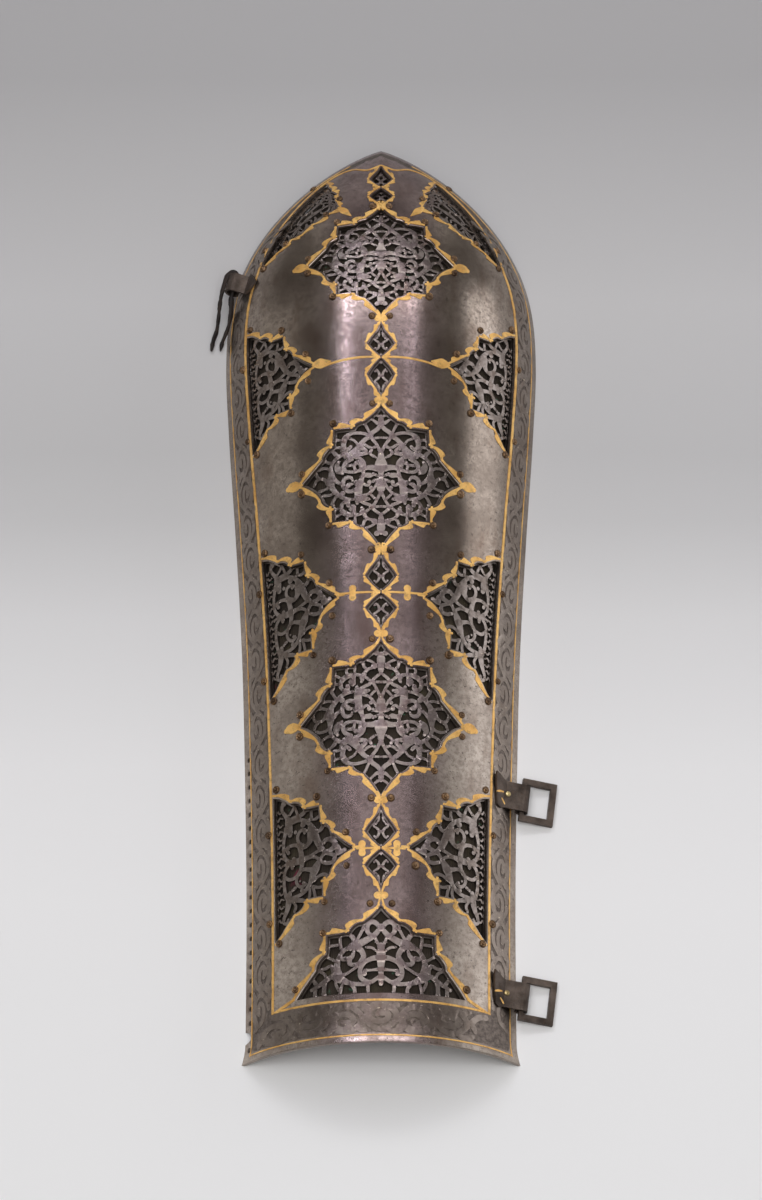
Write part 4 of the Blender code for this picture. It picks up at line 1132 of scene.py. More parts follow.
halfStrokes = (
    ((0, 0.79, 0.05), (0.03, 0.74, 0.05), (0.08, 0.685, 0.06), (0.16, 0.635, 0.07), (0.23, 0.60, 0.08),
     (0.31, 0.57, 0.11), (0.37, 0.555, 0.09)),
    ((0.02, 0.765, 0.04), (0.05, 0.815, 0.05), (0.11, 0.84, 0.052), (0.16, 0.81, 0.052), (0.17, 0.75, 0.05),
     (0.15, 0.705, 0.04), (0.115, 0.69, 0.03)),
    ((0.29, 0.55, 0.08), (0.235, 0.50, 0.06), (0.21, 0.44, 0.055), (0.23, 0.395, 0.06), (0.27, 0.355, 0.05)),
    ((0.075, 0.66, 0.026), (0.045, 0.60, 0.026), (0.015, 0.53, 0.05)),
    ((0, 0.56, 0.07), (0, 0.50, 0.10), (0, 0.42, 0.10), (0, 0.34, 0.08), (0, 0.26, 0.06), (0, 0.18, 0.06),
     (0, 0.12, 0.05)),
    ((0.06, 0.50, 0.022), (0.11, 0.535, 0.026), (0.18, 0.545, 0.022)),
    ((0.03, 0.42, 0.06), (0.09, 0.415, 0.055), (0.15, 0.395, 0.05), (0.20, 0.37, 0.05), (0.24, 0.32, 0.05),
     (0.255, 0.25, 0.05), (0.24, 0.19, 0.05), (0.19, 0.15, 0.05), (0.13, 0.135, 0.045), (0.07, 0.165, 0.04),
     (0.01, 0.21, 0.04)),
    ((0.02, 0.285, 0.04), (0.12, 0.275, 0.022), (0.20, 0.275, 0.032)),
    ((0.20, 0.27, 0.03), (0.20, 0.235, 0.05)),
    ((0.37, 0.555, 0.06), (0.45, 0.52, 0.045), (0.505, 0.45, 0.05), (0.535, 0.36, 0.065), (0.525, 0.27, 0.085),
     (0.50, 0.20, 0.10), (0.45, 0.165, 0.08), (0.38, 0.135, 0.05), (0.30, 0.12, 0.042), (0.22, 0.115, 0.042),
     (0.14, 0.12, 0.04)),
    ((0.53, 0.20, 0.08), (0.60, 0.225, 0.055), (0.65, 0.20, 0.05), (0.71, 0.165, 0.045), (0.77, 0.13, 0.045),
     (0.84, 0.10, 0.036)),
    ((0.33, 0.50, 0.03), (0.345, 0.45, 0.04), (0.385, 0.41, 0.055), (0.375, 0.36, 0.045), (0.33, 0.345, 0.045),
     (0.27, 0.36, 0.03)),
    ((0.41, 0.42, 0.05), (0.46, 0.42, 0.05), (0.50, 0.44, 0.03)),
    ((0.29, 0.32, 0.03), (0.35, 0.285, 0.028), (0.41, 0.25, 0.03), (0.46, 0.235, 0.04)),
    ((0.50, 0.69, 0.03), (0.495, 0.60, 0.03), (0.48, 0.53, 0.03)),
    ((0.50, 0.59, 0.03), (0.64, 0.585, 0.03)),
    ((0.55, 0.40, 0.03), (0.60, 0.43, 0.024), (0.66, 0.465, 0.03)),
    ((0.56, 0.31, 0.024), (0.61, 0.355, 0.03), (0.67, 0.33, 0.034), (0.74, 0.325, 0.03)),
    ((0.59, 0.23, 0.03), (0.585, 0.29, 0.024), (0.61, 0.35, 0.024)),
    ((0.66, 0.21, 0.03), (0.69, 0.27, 0.03), (0.75, 0.31, 0.03)),
    ((0.77, 0.13, 0.04), (0.80, 0.18, 0.04), (0.83, 0.22, 0.03)),
    ((0.22, 0.76, 0.032), (0.25, 0.70, 0.03), (0.30, 0.62, 0.03)),
    ((0.33, 0.60, 0.04), (0.34, 0.66, 0.05), (0.38, 0.70, 0.04)),
    ((0.22, 0.80, 0.03), (0.22, 0.76, 0.03), (0.18, 0.755, 0.03)),
    ((0.16, 0.12, 0.034), (0.155, 0.0, 0.036)),
    ((0.36, 0.125, 0.05), (0.32, 0.06, 0.035), (0.32, 0.0, 0.045)),
    ((0.46, 0.15, 0.03), (0.48, 0.09, 0.026), (0.50, 0.0, 0.036)),
    ((0.55, 0.18, 0.03), (0.545, 0.13, 0.028), (0.51, 0.06, 0.03)),
    ((0.68, 0.18, 0.05), (0.69, 0.09, 0.045), (0.69, 0.0, 0.05)),
    ((0.80, 0.12, 0.04), (0.80, 0.0, 0.04)),
)
halfBalls = ((0.065, 0.60, 0.012),)
sideStrokes = (
    ((0.125, 0.895, 0.075), (0.095, 0.85, 0.04), (0.095, 0.79, 0.036), (0.13, 0.72, 0.04), (0.165, 0.655, 0.055),
     (0.185, 0.58, 0.09), (0.19, 0.50, 0.10), (0.20, 0.43, 0.075), (0.205, 0.385, 0.06)),
    ((0.15, 0.50, 0.05), (0.13, 0.40, 0.042), (0.11, 0.30, 0.036), (0.105, 0.20, 0.036), (0.11, 0.10, 0.038),
     (0.135, 0.02, 0.04), (0.19, -0.035, 0.05)),
    ((0.08, -0.06, 0.01), (0.15, -0.05, 0.036), (0.23, -0.045, 0.06), (0.30, -0.05, 0.072),
     (0.365, -0.04, 0.07), (0.44, -0.03, 0.045), (0.50, -0.03, 0.034), (0.555, -0.05, 0.03),
     (0.59, -0.08, 0.03)),
    ((0.19, -0.06, 0.04), (0.135, -0.11, 0.036), (0.11, -0.18, 0.036), (0.105, -0.26, 0.036),
     (0.11, -0.34, 0.038), (0.125, -0.42, 0.042), (0.155, -0.48, 0.06)),
    ((0.185, -0.42, 0.05), (0.175, -0.48, 0.07), (0.165, -0.55, 0.075), (0.14, -0.63, 0.055),
     (0.105, -0.70, 0.04), (0.095, -0.76, 0.034), (0.14, -0.785, 0.03), (0.16, -0.74, 0.03)),
    ((0.19, 0.595, 0.06), (0.26, 0.615, 0.055), (0.33, 0.63, 0.05), (0.39, 0.66, 0.045), (0.43, 0.71, 0.04)),
    ((0.20, 0.69, 0.026), (0.24, 0.74, 0.026), (0.275, 0.79, 0.03), (0.295, 0.74, 0.026), (0.32, 0.655, 0.03)),
    ((0.24, 0.56, 0.04), (0.32, 0.575, 0.038), (0.39, 0.555, 0.042), (0.455, 0.50, 0.046), (0.505, 0.43, 0.05),
     (0.545, 0.34, 0.05), (0.575, 0.24, 0.046), (0.60, 0.15, 0.046), (0.63, 0.06, 0.046), (0.66, 0.005, 0.05)),
    ((0.475, 0.42, 0.04), (0.485, 0.35, 0.085), (0.485, 0.26, 0.08), (0.455, 0.18, 0.05), (0.41, 0.14, 0.042),
     (0.36, 0.135, 0.045)),
    ((0.52, 0.30, 0.05), (0.555, 0.18, 0.045), (0.60, 0.06, 0.04)),
    ((0.435, 0.38, 0.03), (0.385, 0.41, 0.034), (0.335, 0.385, 0.034), (0.31, 0.32, 0.036), (0.315, 0.25, 0.036),
     (0.35, 0.19, 0.036), (0.41, 0.15, 0.04)),
    ((0.40, 0.41, 0.03), (0.405, 0.355, 0.03)),
    ((0.12, 0.16, 0.034), (0.18, 0.20, 0.032), (0.25, 0.205, 0.034), (0.32, 0.175, 0.045), (0.345, 0.10, 0.055),
     (0.355, 0.03, 0.06), (0.36, -0.04, 0.07), (0.36, -0.11, 0.05), (0.335, -0.18, 0.04), (0.29, -0.23, 0.036),
     (0.23, -0.25, 0.034), (0.17, -0.245, 0.034), (0.12, -0.20, 0.034)),
    ((0.18, 0.19, 0.034), (0.155, 0.15, 0.034), (0.175, 0.11, 0.042)),
    ((0.25, -0.01, 0.05), (0.25, -0.04, 0.05)),
    ((0.46, -0.02, 0.03), (0.53, 0.01, 0.03), (0.60, 0.05, 0.034)),
    ((0.23, -0.08, 0.05), (0.23, -0.11, 0.04)),
    ((0.30, -0.22, 0.034), (0.33, -0.18, 0.034), (0.39, -0.165, 0.036), (0.455, -0.18, 0.045),
     (0.52, -0.20, 0.07)),
    ((0.30, -0.23, 0.032), (0.28, -0.29, 0.032), (0.305, -0.35, 0.032), (0.36, -0.375, 0.034),
     (0.40, -0.35, 0.034), (0.375, -0.33, 0.03)),
    ((0.66, 0.0, 0.04), (0.62, -0.05, 0.034), (0.585, -0.10, 0.05), (0.545, -0.17, 0.09), (0.51, -0.24, 0.085),
     (0.48, -0.32, 0.06), (0.445, -0.38, 0.042), (0.39, -0.44, 0.04), (0.33, -0.47, 0.038),
     (0.25, -0.485, 0.04), (0.18, -0.49, 0.05)),
    ((0.225, -0.395, 0.03), (0.265, -0.37, 0.034)),
    ((0.18, -0.52, 0.04), (0.26, -0.525, 0.045), (0.33, -0.535, 0.045), (0.40, -0.56, 0.034)),
    ((0.24, -0.54, 0.026), (0.27, -0.60, 0.03), (0.25, -0.66, 0.03)),
    ((0.50, 0.70, 0.03), (0.50, 0.62, 0.03), (0.50, 0.55, 0.03), (0.55, 0.535, 0.03), (0.605, 0.575, 0.034)),
    ((0.455, 0.53, 0.03), (0.50, 0.55, 0.03)),
    ((0.53, 0.39, 0.032), (0.575, 0.345, 0.032), (0.615, 0.355, 0.04), (0.645, 0.41, 0.034)),
    ((0.64, 0.14, 0.034), (0.67, 0.185, 0.045), (0.73, 0.185, 0.05), (0.78, 0.13, 0.06), (0.77, 0.055, 0.055),
     (0.71, 0.015, 0.045), (0.65, 0.0, 0.04)),
    ((0.73, 0.20, 0.05), (0.77, 0.225, 0.05)),
    ((0.78, 0.11, 0.05), (0.82, 0.03, 0.06), (0.82, -0.03, 0.05), (0.90, 0.0, 0.04)),
    ((0.66, -0.01, 0.034), (0.72, -0.03, 0.034), (0.775, -0.06, 0.04), (0.765, -0.125, 0.04),
     (0.70, -0.14, 0.04), (0.63, -0.12, 0.034)),
    ((0.77, -0.10, 0.04), (0.80, -0.16, 0.036)),
    ((0.51, -0.33, 0.03), (0.57, -0.285, 0.03), (0.64, -0.27, 0.036), (0.70, -0.30, 0.03)),
    ((0.63, -0.42, 0.03), (0.56, -0.42, 0.03), (0.50, -0.40, 0.03), (0.515, -0.46, 0.03), (0.53, -0.55, 0.03)),
    ((0.45, -0.40, 0.03), (0.46, -0.47, 0.03), (0.44, -0.56, 0.03)),
)
firstSideFillers = (
    ((0.10, -0.92, 0.05), (0.20, -0.86, 0.06), (0.30, -0.80, 0.06), (0.42, -0.70, 0.07), (0.55, -0.62, 0.07),
     (0.66, -0.52, 0.08), (0.74, -0.42, 0.08), (0.80, -0.30, 0.08), (0.84, -0.18, 0.07), (0.88, -0.06, 0.06)),
    ((0.66, -0.52, 0.05), (0.74, -0.56, 0.06), (0.82, -0.54, 0.05)),
    ((0.80, -0.30, 0.05), (0.86, -0.34, 0.06), (0.93, -0.33, 0.05)),
    ((0.55, -0.62, 0.05), (0.60, -0.68, 0.06), (0.64, -0.66, 0.04)),
    ((0.42, -0.70, 0.05), (0.46, -0.76, 0.06), (0.50, -0.77, 0.04)),
    ((0.66, -0.52, 0.05), (0.60, -0.46, 0.07), (0.53, -0.45, 0.05)),
    ((0.74, -0.42, 0.05), (0.68, -0.36, 0.07), (0.62, -0.34, 0.05)),
    ((0.80, -0.30, 0.05), (0.74, -0.24, 0.07), (0.66, -0.22, 0.05)),
    ((0.55, -0.62, 0.05), (0.48, -0.58, 0.07), (0.44, -0.52, 0.05)),
    ((0.42, -0.70, 0.05), (0.35, -0.66, 0.07), (0.28, -0.62, 0.05)),
    ((0.30, -0.80, 0.05), (0.24, -0.76, 0.07), (0.18, -0.72, 0.05)),
    ((0.84, -0.18, 0.05), (0.90, -0.20, 0.06), (0.95, -0.17, 0.05)),
    ((0.88, -0.06, 0.05), (0.80, 0.0, 0.06), (0.72, -0.01, 0.05)),
)
sideBalls = ((0.385, 0.49, 0.036), (0.28, 0.40, 0.024), (0.36, -0.42, 0.03), (0.33, -0.30, 0.014))
pairStrokes = (  # one scroll of the right half: (across, along the opening, width), widths in mm
    ((0.36, 0.60, 0.7), (0.50, 0.62, 0.85), (0.48, 0.54, 0.7), (0.30, 0.50, 0.75), (0.13, 0.42, 0.95),
     (0.18, 0.32, 0.8), (0.36, 0.25, 0.7), (0.46, 0.29, 0.8)),
    ((0.0, 0.41, 1.0), (0.16, 0.42, 0.9)),
    ((0.12, 0.80, 0.6), (0.16, 0.70, 0.7), (0.28, 0.63, 0.7)),
)


def panelStrokes(strokes, balls, width, above, below):
    polygons = []
    for points in strokes:
        line = [
            (u * width, v * (above if v > 0 else below), w * width + openwork["thicker"]) for u, v, w in points
        ]
        polygons += stroke(line)
    for u, v, radius in balls:
        polygons += disc((u * width, v * (above if v > 0 else below)), radius * width, 10)
    return polygons


def mirrored(polygons):
    return [np.array(p) for p in polygons] + [np.array(p) * (-1.0, 1.0) for p in polygons]


def rimBand(loop):
    size = len(loop)
    return band(loop, np.full(size, openwork["rimInner"]), np.full(size, openwork["rimOuter"]), True)


def buildLozenge(number, station, length, width):
    # The two upper lozenges carry the pattern upside down
    work = mirrored(panelStrokes(lozengeStrokes + lozengeFillers, lozengeBalls, width, length, length))
    if number < 3:
        work = [p * (1.0, -1.0) + (0.0, openwork["flipShift"] * length) for p in work]
    return rimBand(lozengeLoop(length, width, station)) + [p + (0.0, station) for p in work]


def buildHalf():
    base, length, width = lobes["half"]
    work = mirrored(panelStrokes(halfStrokes, halfBalls, width, length, length))
    return rimBand(halfLoop()) + [p + (0.0, base) for p in work]


def buildPair(row):
    _, bar, above, below, width = row
    polygons = []
    for sign, loop in zip((1, -1), pairLoops(row)):
        polygons += rimBand(loop if sign > 0 else loop[::-1])
        start = lobes["pairGap"] / 2
        reach = (above if sign > 0 else below) - start
        for points in pairStrokes:
            line = [(u * width, bar + sign * (start + v * reach), w) for u, v, w in points]
            polygons += mirrored(stroke(line))
    return polygons


def buildSide(row):
    number, _, reach, above, below = row
    arch = sideArch(row)
    polygons = band(arch, np.full(len(arch), openwork["rimOuter"]), np.full(len(arch), openwork["rimInner"]))
    rail = sideRail(row, int(above + below))
    size = len(rail)
    polygons += band(rail, np.full(size, 1.6), np.full(size, 0.4))
    strokes = sideStrokes + firstSideFillers if number == 1 else sideStrokes
    work = panelStrokes(strokes, sideBalls, reach, above, below)
    count = int((above + below) * 0.8 / openwork["hooks"])
    for k in range(count):
        y = -below * 0.78 + (above + below) * 0.8 * (k + 0.5) / count
        turn = 0.45 * (-1) ** k
        hook = [(0.1, y, 0.6), (1.0, y + turn, 0.75), (1.7, y - turn, 0.55), (0.10 * reach, y, 0.6)]
        work += stroke(hook, 0.5)
    return polygons + [leaning(row, polygon) for polygon in work]


def buildOpenwork():
    def finish(node, polygons):
        piece = unionSheet(node + "_openwork", polygons, openwork["top"], openwork["bottom"],
                           materials["openwork"], openwork["crown"])
        finishPiece(piece, replaced=(node,))

    for row in lobes["lozenges"]:
        finish(f"lozenge_panel_{row[0]}", buildLozenge(*row))
    finish("half_lozenge_panel", buildHalf())
    for row in lobes["pairs"]:
        finish(f"diamond_panel_{row[0]}", buildPair(row))
    for row in lobes["sides"]:
        for word, side in (("right", 1), ("left", -1)):
            finish(f"side_panel_{word}_{row[0]}", mapped(buildSide(row), side))


buildOpenwork()
print("openwork panels made")

# Etched vine band

# One bend of the vine: (along, across, width) as shares of the half period, the half band and the half band
scroll = (
    ((0.0, -0.74, 0.26), (0.22, -0.60, 0.24), (0.5, 0.0, 0.24), (0.78, 0.60, 0.24), (1.0, 0.74, 0.26)),
    ((0.40, -0.22, 0.20), (0.44, 0.22, 0.24), (0.30, 0.62, 0.30), (0.05, 0.78, 0.34), (-0.22, 0.68, 0.34),
     (-0.38, 0.36, 0.30), (-0.34, 0.02, 0.26), (-0.16, -0.22, 0.24), (0.06, -0.22, 0.24), (0.20, 0.0, 0.24),
     (0.17, 0.26, 0.28), (0.0, 0.34, 0.34), (-0.10, 0.20, 0.20)),
    ((0.30, 0.62, 0.20), (0.44, 0.76, 0.26), (0.56, 0.84, 0.16)),
    ((-0.34, 0.40, 0.20), (-0.48, 0.56, 0.26), (-0.52, 0.80, 0.16)),
    ((0.16, -0.68, 0.16), (0.30, -0.84, 0.24), (0.50, -0.82, 0.28), (0.62, -0.66, 0.20)),
    ((0.60, 0.16, 0.16), (0.66, -0.10, 0.24), (0.70, -0.34, 0.16)),
)


def vineRun(start, length, count, centre, half):
    # Polygons in (along, across) of a running scroll
    reach = length / count
    polygons = []
    for k in range(count):
        flip = 1 if k % 2 else -1
        for points in scroll:
            line = [
                (start + (k + u) * reach, centre + flip * v * half, w * half * vine["swell"])
                for u, v, w in points
            ]
            polygons += stroke(line, 0.6)
    return polygons


def buildVine():
    polygons = []
    centre = (vine["sideOuter"] + vine["sideInner"]) / 2
    half = (vine["sideInner"] - vine["sideOuter"]) / 2
    length = vine["to"] - vine["from"]
    run = vineRun(vine["from"], length, round(length / vine["period"] * 2), centre, half)
    for side in (1, -1):
        polygons += [fromEdge(np.array(p)[:, ::-1], side) for p in run]
    rimCentre = (vine["rimOuter"] + vine["rimInner"]) / 2
    rimHalf = (vine["rimInner"] - vine["rimOuter"]) / 2
    width = 2 * 34.5
    polygons += vineRun(-width / 2, width, round(width / vine["rimPeriod"] * 2), rimCentre, rimHalf)
    piece = unionSheet("etchedVine", polygons, -vine["height"], 0.3, materials["etched"], 0.05)
    return finishPiece(piece)


buildVine()
print("vine band made")

# Rivets

rivet = {"radius": 1.35, "height": 0.6}


rivetMarks = {  # (across, along) as shares, beside the openings
    "lozenge": ((0.11, 1.035), (0.61, 0.79), (1.005, 0.15), (1.01, -0.13), (0.66, -0.64), (0.12, -1.03)),
    "half": ((0.13, 1.035), (0.69, 0.73), (1.01, 0.12)),
    "side": ((0.06, 1.12), (0.60, 0.85), (0.93, 0.24), (0.93, -0.22), (0.66, -0.63), (0.07, -1.03)),
    "tipSide": ((0.80, 0.55), (0.98, -0.16), (0.62, -0.68), (0.12, -1.0)),
}


def rivetPlaces():
    places = []
    for _, station, length, width in lobes["lozenges"]:
        for u, v in rivetMarks["lozenge"]:
            places += [(sign * u * width, station + v * length) for sign in (1, -1)]
    base, length, width = lobes["half"]
    for u, v in rivetMarks["half"]:
        places += [(sign * u * width, base + v * length) for sign in (1, -1)]
    for number, tip, reach, above, below in lobes["sides"]:
        marks = rivetMarks["tipSide" if number == 1 else "side"]
        local = [(u * reach, v * (above if v > 0 else below)) for u, v in marks]
        local += [(-2.2, 0.45 * above), (-2.2, -0.75 * below)]
        local = leaning((number, tip, reach, above, below), local)
        for side in (1, -1):
            places += [tuple(point) for point in fromEdge(local, side)]
    return places


def buildRivets():
    # One rivet is turned from a disc, then copied square to the surface at each place
    bpy.ops.object.select_all(action="DESELECT")
    bpy.ops.mesh.primitive_circle_add(vertices=14, radius=rivet["radius"] * mm, fill_type="NGON")
    master = bpy.context.object
    bpy.ops.object.mode_set(mode="EDIT")
    bpy.ops.mesh.select_all(action="SELECT")
    for rise, share in ((0.7, 0.97), (0.3, 0.80), (-0.28, 0.72), (0.0, 0.66), (0.5, 0.80), (0.15, 0.7)):
        bpy.ops.mesh.extrude_region_move(TRANSFORM_OT_translate={"value": (0, 0, rise * rivet["height"] * mm)})
        bpy.ops.transform.resize(value=(share, share, 1.0))
    bpy.ops.object.mode_set(mode="OBJECT")
    vertices = np.array([v.co for v in master.data.vertices])
    faces = [tuple(p.vertices) for p in master.data.polygons]
    low = vertices[:, 2].min()
    floorFace = [i for i, f in enumerate(faces) if all(abs(vertices[k, 2] - low) < 1e-7 for k in f)]
    allVertices, allFaces = [], []
    for x, y in rivetPlaces():
        centre = place(lift([(x, y)], -0.02))[0]
        outer = place(lift([(x, y)], -1.0))[0]
        turn = Vector(outer - centre).to_track_quat("Z", "Y").to_matrix()
        size = random.uniform(0.86, 1.08)
        tilt = Matrix.Rotation(random.uniform(0, 6.28), 3, "Z")
        matrix = np.array(turn @ tilt)
        first = len(allVertices)
        allVertices += list((vertices * size) @ matrix.T + centre)
        allFaces += [tuple(first + i for i in face) for face in faces]
    bpy.data.objects.remove(master)
    piece = newPiece("rivets", allVertices, allFaces, materials["brass"], 50.0)
    return finishPiece(piece)


buildRivets()
print("rivets made")

# Lining

lining = {"depth": 2.95, "thickness": 0.75, "hem": 9.0, "sag": 0.35, "grid": 2.6}


def buildLining():
    along = np.linspace(10.5, edgeLength - 1.0, 150)
    right = fromEdge(np.stack((np.full(150, lining["hem"]), along), 1))
    right = right[right[:, 0] > 2.0]
    left = right[::-1] * (-1.0, 1.0)
    rim = [(share * right[0][0], right[0][1]) for share in np.linspace(-1, 1, 40)[1:-1]]
    outline = np.concatenate((right, left, rim))
    coords = [tuple(p) for p in outline]
    for y in np.arange(12.0, plate["tip"] - 12.0, lining["grid"]):
        half = np.interp(y, right[:, 1], right[:, 0]) - 1.2
        count = max(2, int(half / lining["grid"]))
        coords += [(half * i / count, y) for i in range(-count, count + 1)]
    face = [list(range(len(outline)))]
    flat, _, triangles, _, _, sources = delaunay_2d_cdt([Vector(c) for c in coords], [], face, 0, 1e-4)
    kept = [tuple(t) for t, source in zip(triangles, sources) if source]
    flat = np.array([tuple(p) for p in flat])
    x, y = flat.T
    sag = np.sin(x * 0.31 + 1.1) * np.sin(y * 0.23 + 0.4 * np.sin(x * 0.11)) + 0.6 * np.sin(x * 0.8 + y * 0.55)
    depth = lining["depth"] + lining["sag"] * 0.5 * (1 + 0.6 * sag)
    used = len(flat)
    upper = place(lift(flat, depth))
    lower = place(lift(flat, depth + lining["thickness"]))
    sides = set()
    for a, b, c in kept:
        for edge in ((a, b), (b, c), (c, a)):
            sides ^= {edge} if edge[::-1] not in sides else {edge[::-1]}
    faces = kept + [(c + used, b + used, a + used) for a, b, c in kept]
    faces += [(b, a, a + used, b + used) for a, b in sorted(sides)]
    piece = newPiece("liningSheet", np.concatenate((upper, lower)), faces, materials["cloth"], 60.0)
    finishPiece(piece, replaced=("lining",))


buildLining()
print("lining made")

# Thong

thong = {
    "tab": 291.5, "half": 0.85, "thick": 0.6, "sides": 8,
    "route": (  # out from the edge, along it, up
        (2.1, -24.2, 0.9), (2.4, -20.5, 1.6), (2.1, -16.8, 2.6), (2.5, -13.0, 3.9), (3.1, -9.3, 5.2),
        (3.5, -5.5, 6.8), (3.6, -1.0, 7.8), (3.2, 3.2, 8.2), (1.7, 5.0, 8.3), (0.3, 4.2, 8.1), (0.0, 1.5, 8.0),
        (0.0, -2.0, 8.0), (-0.3, -5.6, 7.2), (-1.1, -8.6, 5.6), (-1.5, -11.8, 4.1), (-1.5, -15.5, 2.8),
        (-0.9, -20.0, 1.6), (-1.0, -23.4, 0.9),
    ),
}


def buildThong():
    # A dry twisted strip of uneven width
    start, near, far = fromEdge([(0.0, thong["tab"]), (0.0, thong["tab"] - 1.0), (0.0, thong["tab"] + 1.0)], -1)
    along = (far - near) / np.linalg.norm(far - near)
    out = np.array((-along[1], along[0]))
    route = smoothLine(thong["route"], 0.7)
    plan = start + route[:, :1] * out + route[:, 1:2] * along
    path = place(np.concatenate((plan, route[:, 2:]), 1)) / mm
    run = np.gradient(path, axis=0)
    run /= np.linalg.norm(run, axis=1)[:, None]
    flat = np.cross(run, (0.35, 0.15, 1.0))
    flat /= np.linalg.norm(flat, axis=1)[:, None]
    up = np.cross(run, flat)
    k = np.arange(len(path))
    wide = thong["half"] + 0.16 * np.sin(k * 0.23) + 0.10 * np.sin(k * 0.9 + 1.0) + 0.06 * np.sin(k * 2.3)
    thick = thong["thick"] + 0.08 * np.sin(k * 0.8 + 0.6)
    ends = np.minimum(k, k[::-1]) / 3.0
    wide *= np.clip(0.35 + 0.65 * ends, 0.0, 1.0)
    turn = 0.9 * np.sin(k * 0.16)
    sides = thong["sides"]
    rings = []
    for angle in np.arange(sides) * 2 * math.pi / sides:
        across = (np.cos(angle) * wide)[:, None]
        over = (np.sin(angle) * thick)[:, None]
        c, s = np.cos(turn)[:, None], np.sin(turn)[:, None]
        rings.append(path + flat * (across * c - over * s) + up * (across * s + over * c))
    vertices = np.stack(rings, 1).reshape(-1, 3)
    vertices[:, 2] = np.maximum(vertices[:, 2], 0.15)
    faces = []
    for i in range(len(path) - 1):
        for j in range(sides):
            a, b = i * sides + j, i * sides + (j + 1) % sides
            faces.append((a, b, b + sides, a + sides))
    faces.append(tuple(range(sides))[::-1])
    faces.append(tuple(range((len(path) - 1) * sides, len(path) * sides)))
    piece = newPiece("leatherThong", vertices * mm, faces, materials["leather"], 70.0)
    bpy.context.view_layer.objects.active = piece
    piece.select_set(True)
    bpy.ops.object.mode_set(mode="EDIT")
    bpy.ops.mesh.select_all(action="SELECT")
    bpy.ops.mesh.normals_make_consistent(inside=False)
    bpy.ops.object.mode_set(mode="OBJECT")
    piece.select_set(False)
    return finishPiece(piece, replaced=("thong",))


buildThong()
print("thong made")

# Gilt stripes and brass pins on the buckle tongues

strap = {"stations": {"upper": 94.0, "lower": 22.5}, "pin": (5.2, 0.9), "radius": 0.95}
strapStripes = (  # (in from the edge, along, width), along from the middle of the tongue
    ((11.6, 0.3, 0.35), (9.6, 0.9, 0.7), (7.6, 1.2, 0.5)),
    ((8.6, -1.2, 0.3), (7.6, -2.2, 0.55), (6.9, -3.0, 0.3)),
)


def onNode(node, x, y):
    # The highest point of a node over a place of the plan
    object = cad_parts[node]
    back = object.matrix_world.inverted()
    over = place([(x, y, 60.0)])[0]
    hit, spot, _, _ = object.ray_cast(back @ Vector(over), back.to_3x3() @ Vector((0, 0, -1)))
    return np.array(object.matrix_world @ spot) / mm if hit else None


def buildStrapTrim():
    pinVertices, pinFaces, ribbonVertices, ribbonFaces = [], [], [], []
    for word, station in strap["stations"].items():
        node = f"buckle_strap_{word}"
        inward, along = strap["pin"]
        centre = onNode(node, *fromEdge([(inward, station + along)])[0])
        if centre is not None:
            rings = ((1.0, -0.2), (1.0, 0.12), (0.82, 0.34), (0.45, 0.48), (0.38, 0.40), (0.3, 0.62))
            first = len(pinVertices)
            for share, rise in rings:
                for angle in np.arange(12) * math.pi / 6:
                    radius = strap["radius"] * share
                    lean = (0.35 * rise, 0.0, rise)
                    pinVertices.append(centre + lean + (radius * np.cos(angle), radius * np.sin(angle), -0.5 * radius
                                                        * np.cos(angle)))
            for i in range(len(rings) - 1):
                for j in range(12):
                    a, b = first + i * 12 + j, first + i * 12 + (j + 1) % 12
                    pinFaces.append((a, b, b + 12, a + 12))
            top = first + (len(rings) - 1) * 12
            pinFaces.append(tuple(range(top, top + 12)))
            pinFaces.append(tuple(range(first, first + 12))[::-1])
        for points in strapStripes:
            line = smoothLine(points, 0.4)
            places = fromEdge(line[:, :2] + (0.0, station))
            over = sideways(places) * line[:, 2:] / 2
            first = len(ribbonVertices)
            for plan in (places + over, places - over):
                for x, y in plan:
                    spot = onNode(node, x, y)
                    if spot is None:
                        spot = onNode(node, *places[len(places) // 2])
                    ribbonVertices.append(spot + (0.0, 0.0, 0.07))
            size = len(places)
            low = len(ribbonVertices)
            ribbonVertices += [spot - (0.0, 0.0, 0.15) for spot in ribbonVertices[first:low]]
            deep = low - first
            for i in range(size - 1):
                a, b, c, d = first + i, first + i + 1, first + size + i + 1, first + size + i
                ribbonFaces += [(d, c, b, a), (a + deep, b + deep, c + deep, d + deep)]
                ribbonFaces += [(a, b, b + deep, a + deep), (c, d, d + deep, c + deep)]
            for i in (0, size - 1):
                a, d = first + i, first + size + i
                side = (d, a, a + deep, d + deep)
                ribbonFaces.append(side if i == 0 else side[::-1])
    pins = newPiece("strapPins", np.array(pinVertices) * mm, pinFaces, materials["pinBrass"], 50.0)
    finishPiece(pins)
    stripes = newPiece("strapStripes", np.array(ribbonVertices) * mm, ribbonFaces, materials["gold"])
    finishPiece(stripes)


buildStrapTrim()
print("strap trim made")

# Room, light and camera

room = {
    "elevation": 65.0, "distance": 1600.0, "target": 172.5, "focalPixels": 4600.8, "imageLong": 1200.0,
    "shiftX": 0.0, "shiftY": -0.0042,
    "falloffNear": -0.22, "falloffFar": 0.21,  # metres, over which the floor colour darkens: a painted light falloff
    # The pale paper colour with a painted light falloff: lighter towards the front, darker towards the back
    "paperAndFalloff": ((0.0, 0.90), (0.25, 0.885), (0.36, 0.85), (0.49, 0.73), (0.58, 0.585), (0.64, 0.54), (0.78, 0.56),
              (1.0, 0.42)),
    "falloffTint": (1.0, 0.982, 0.987),
}


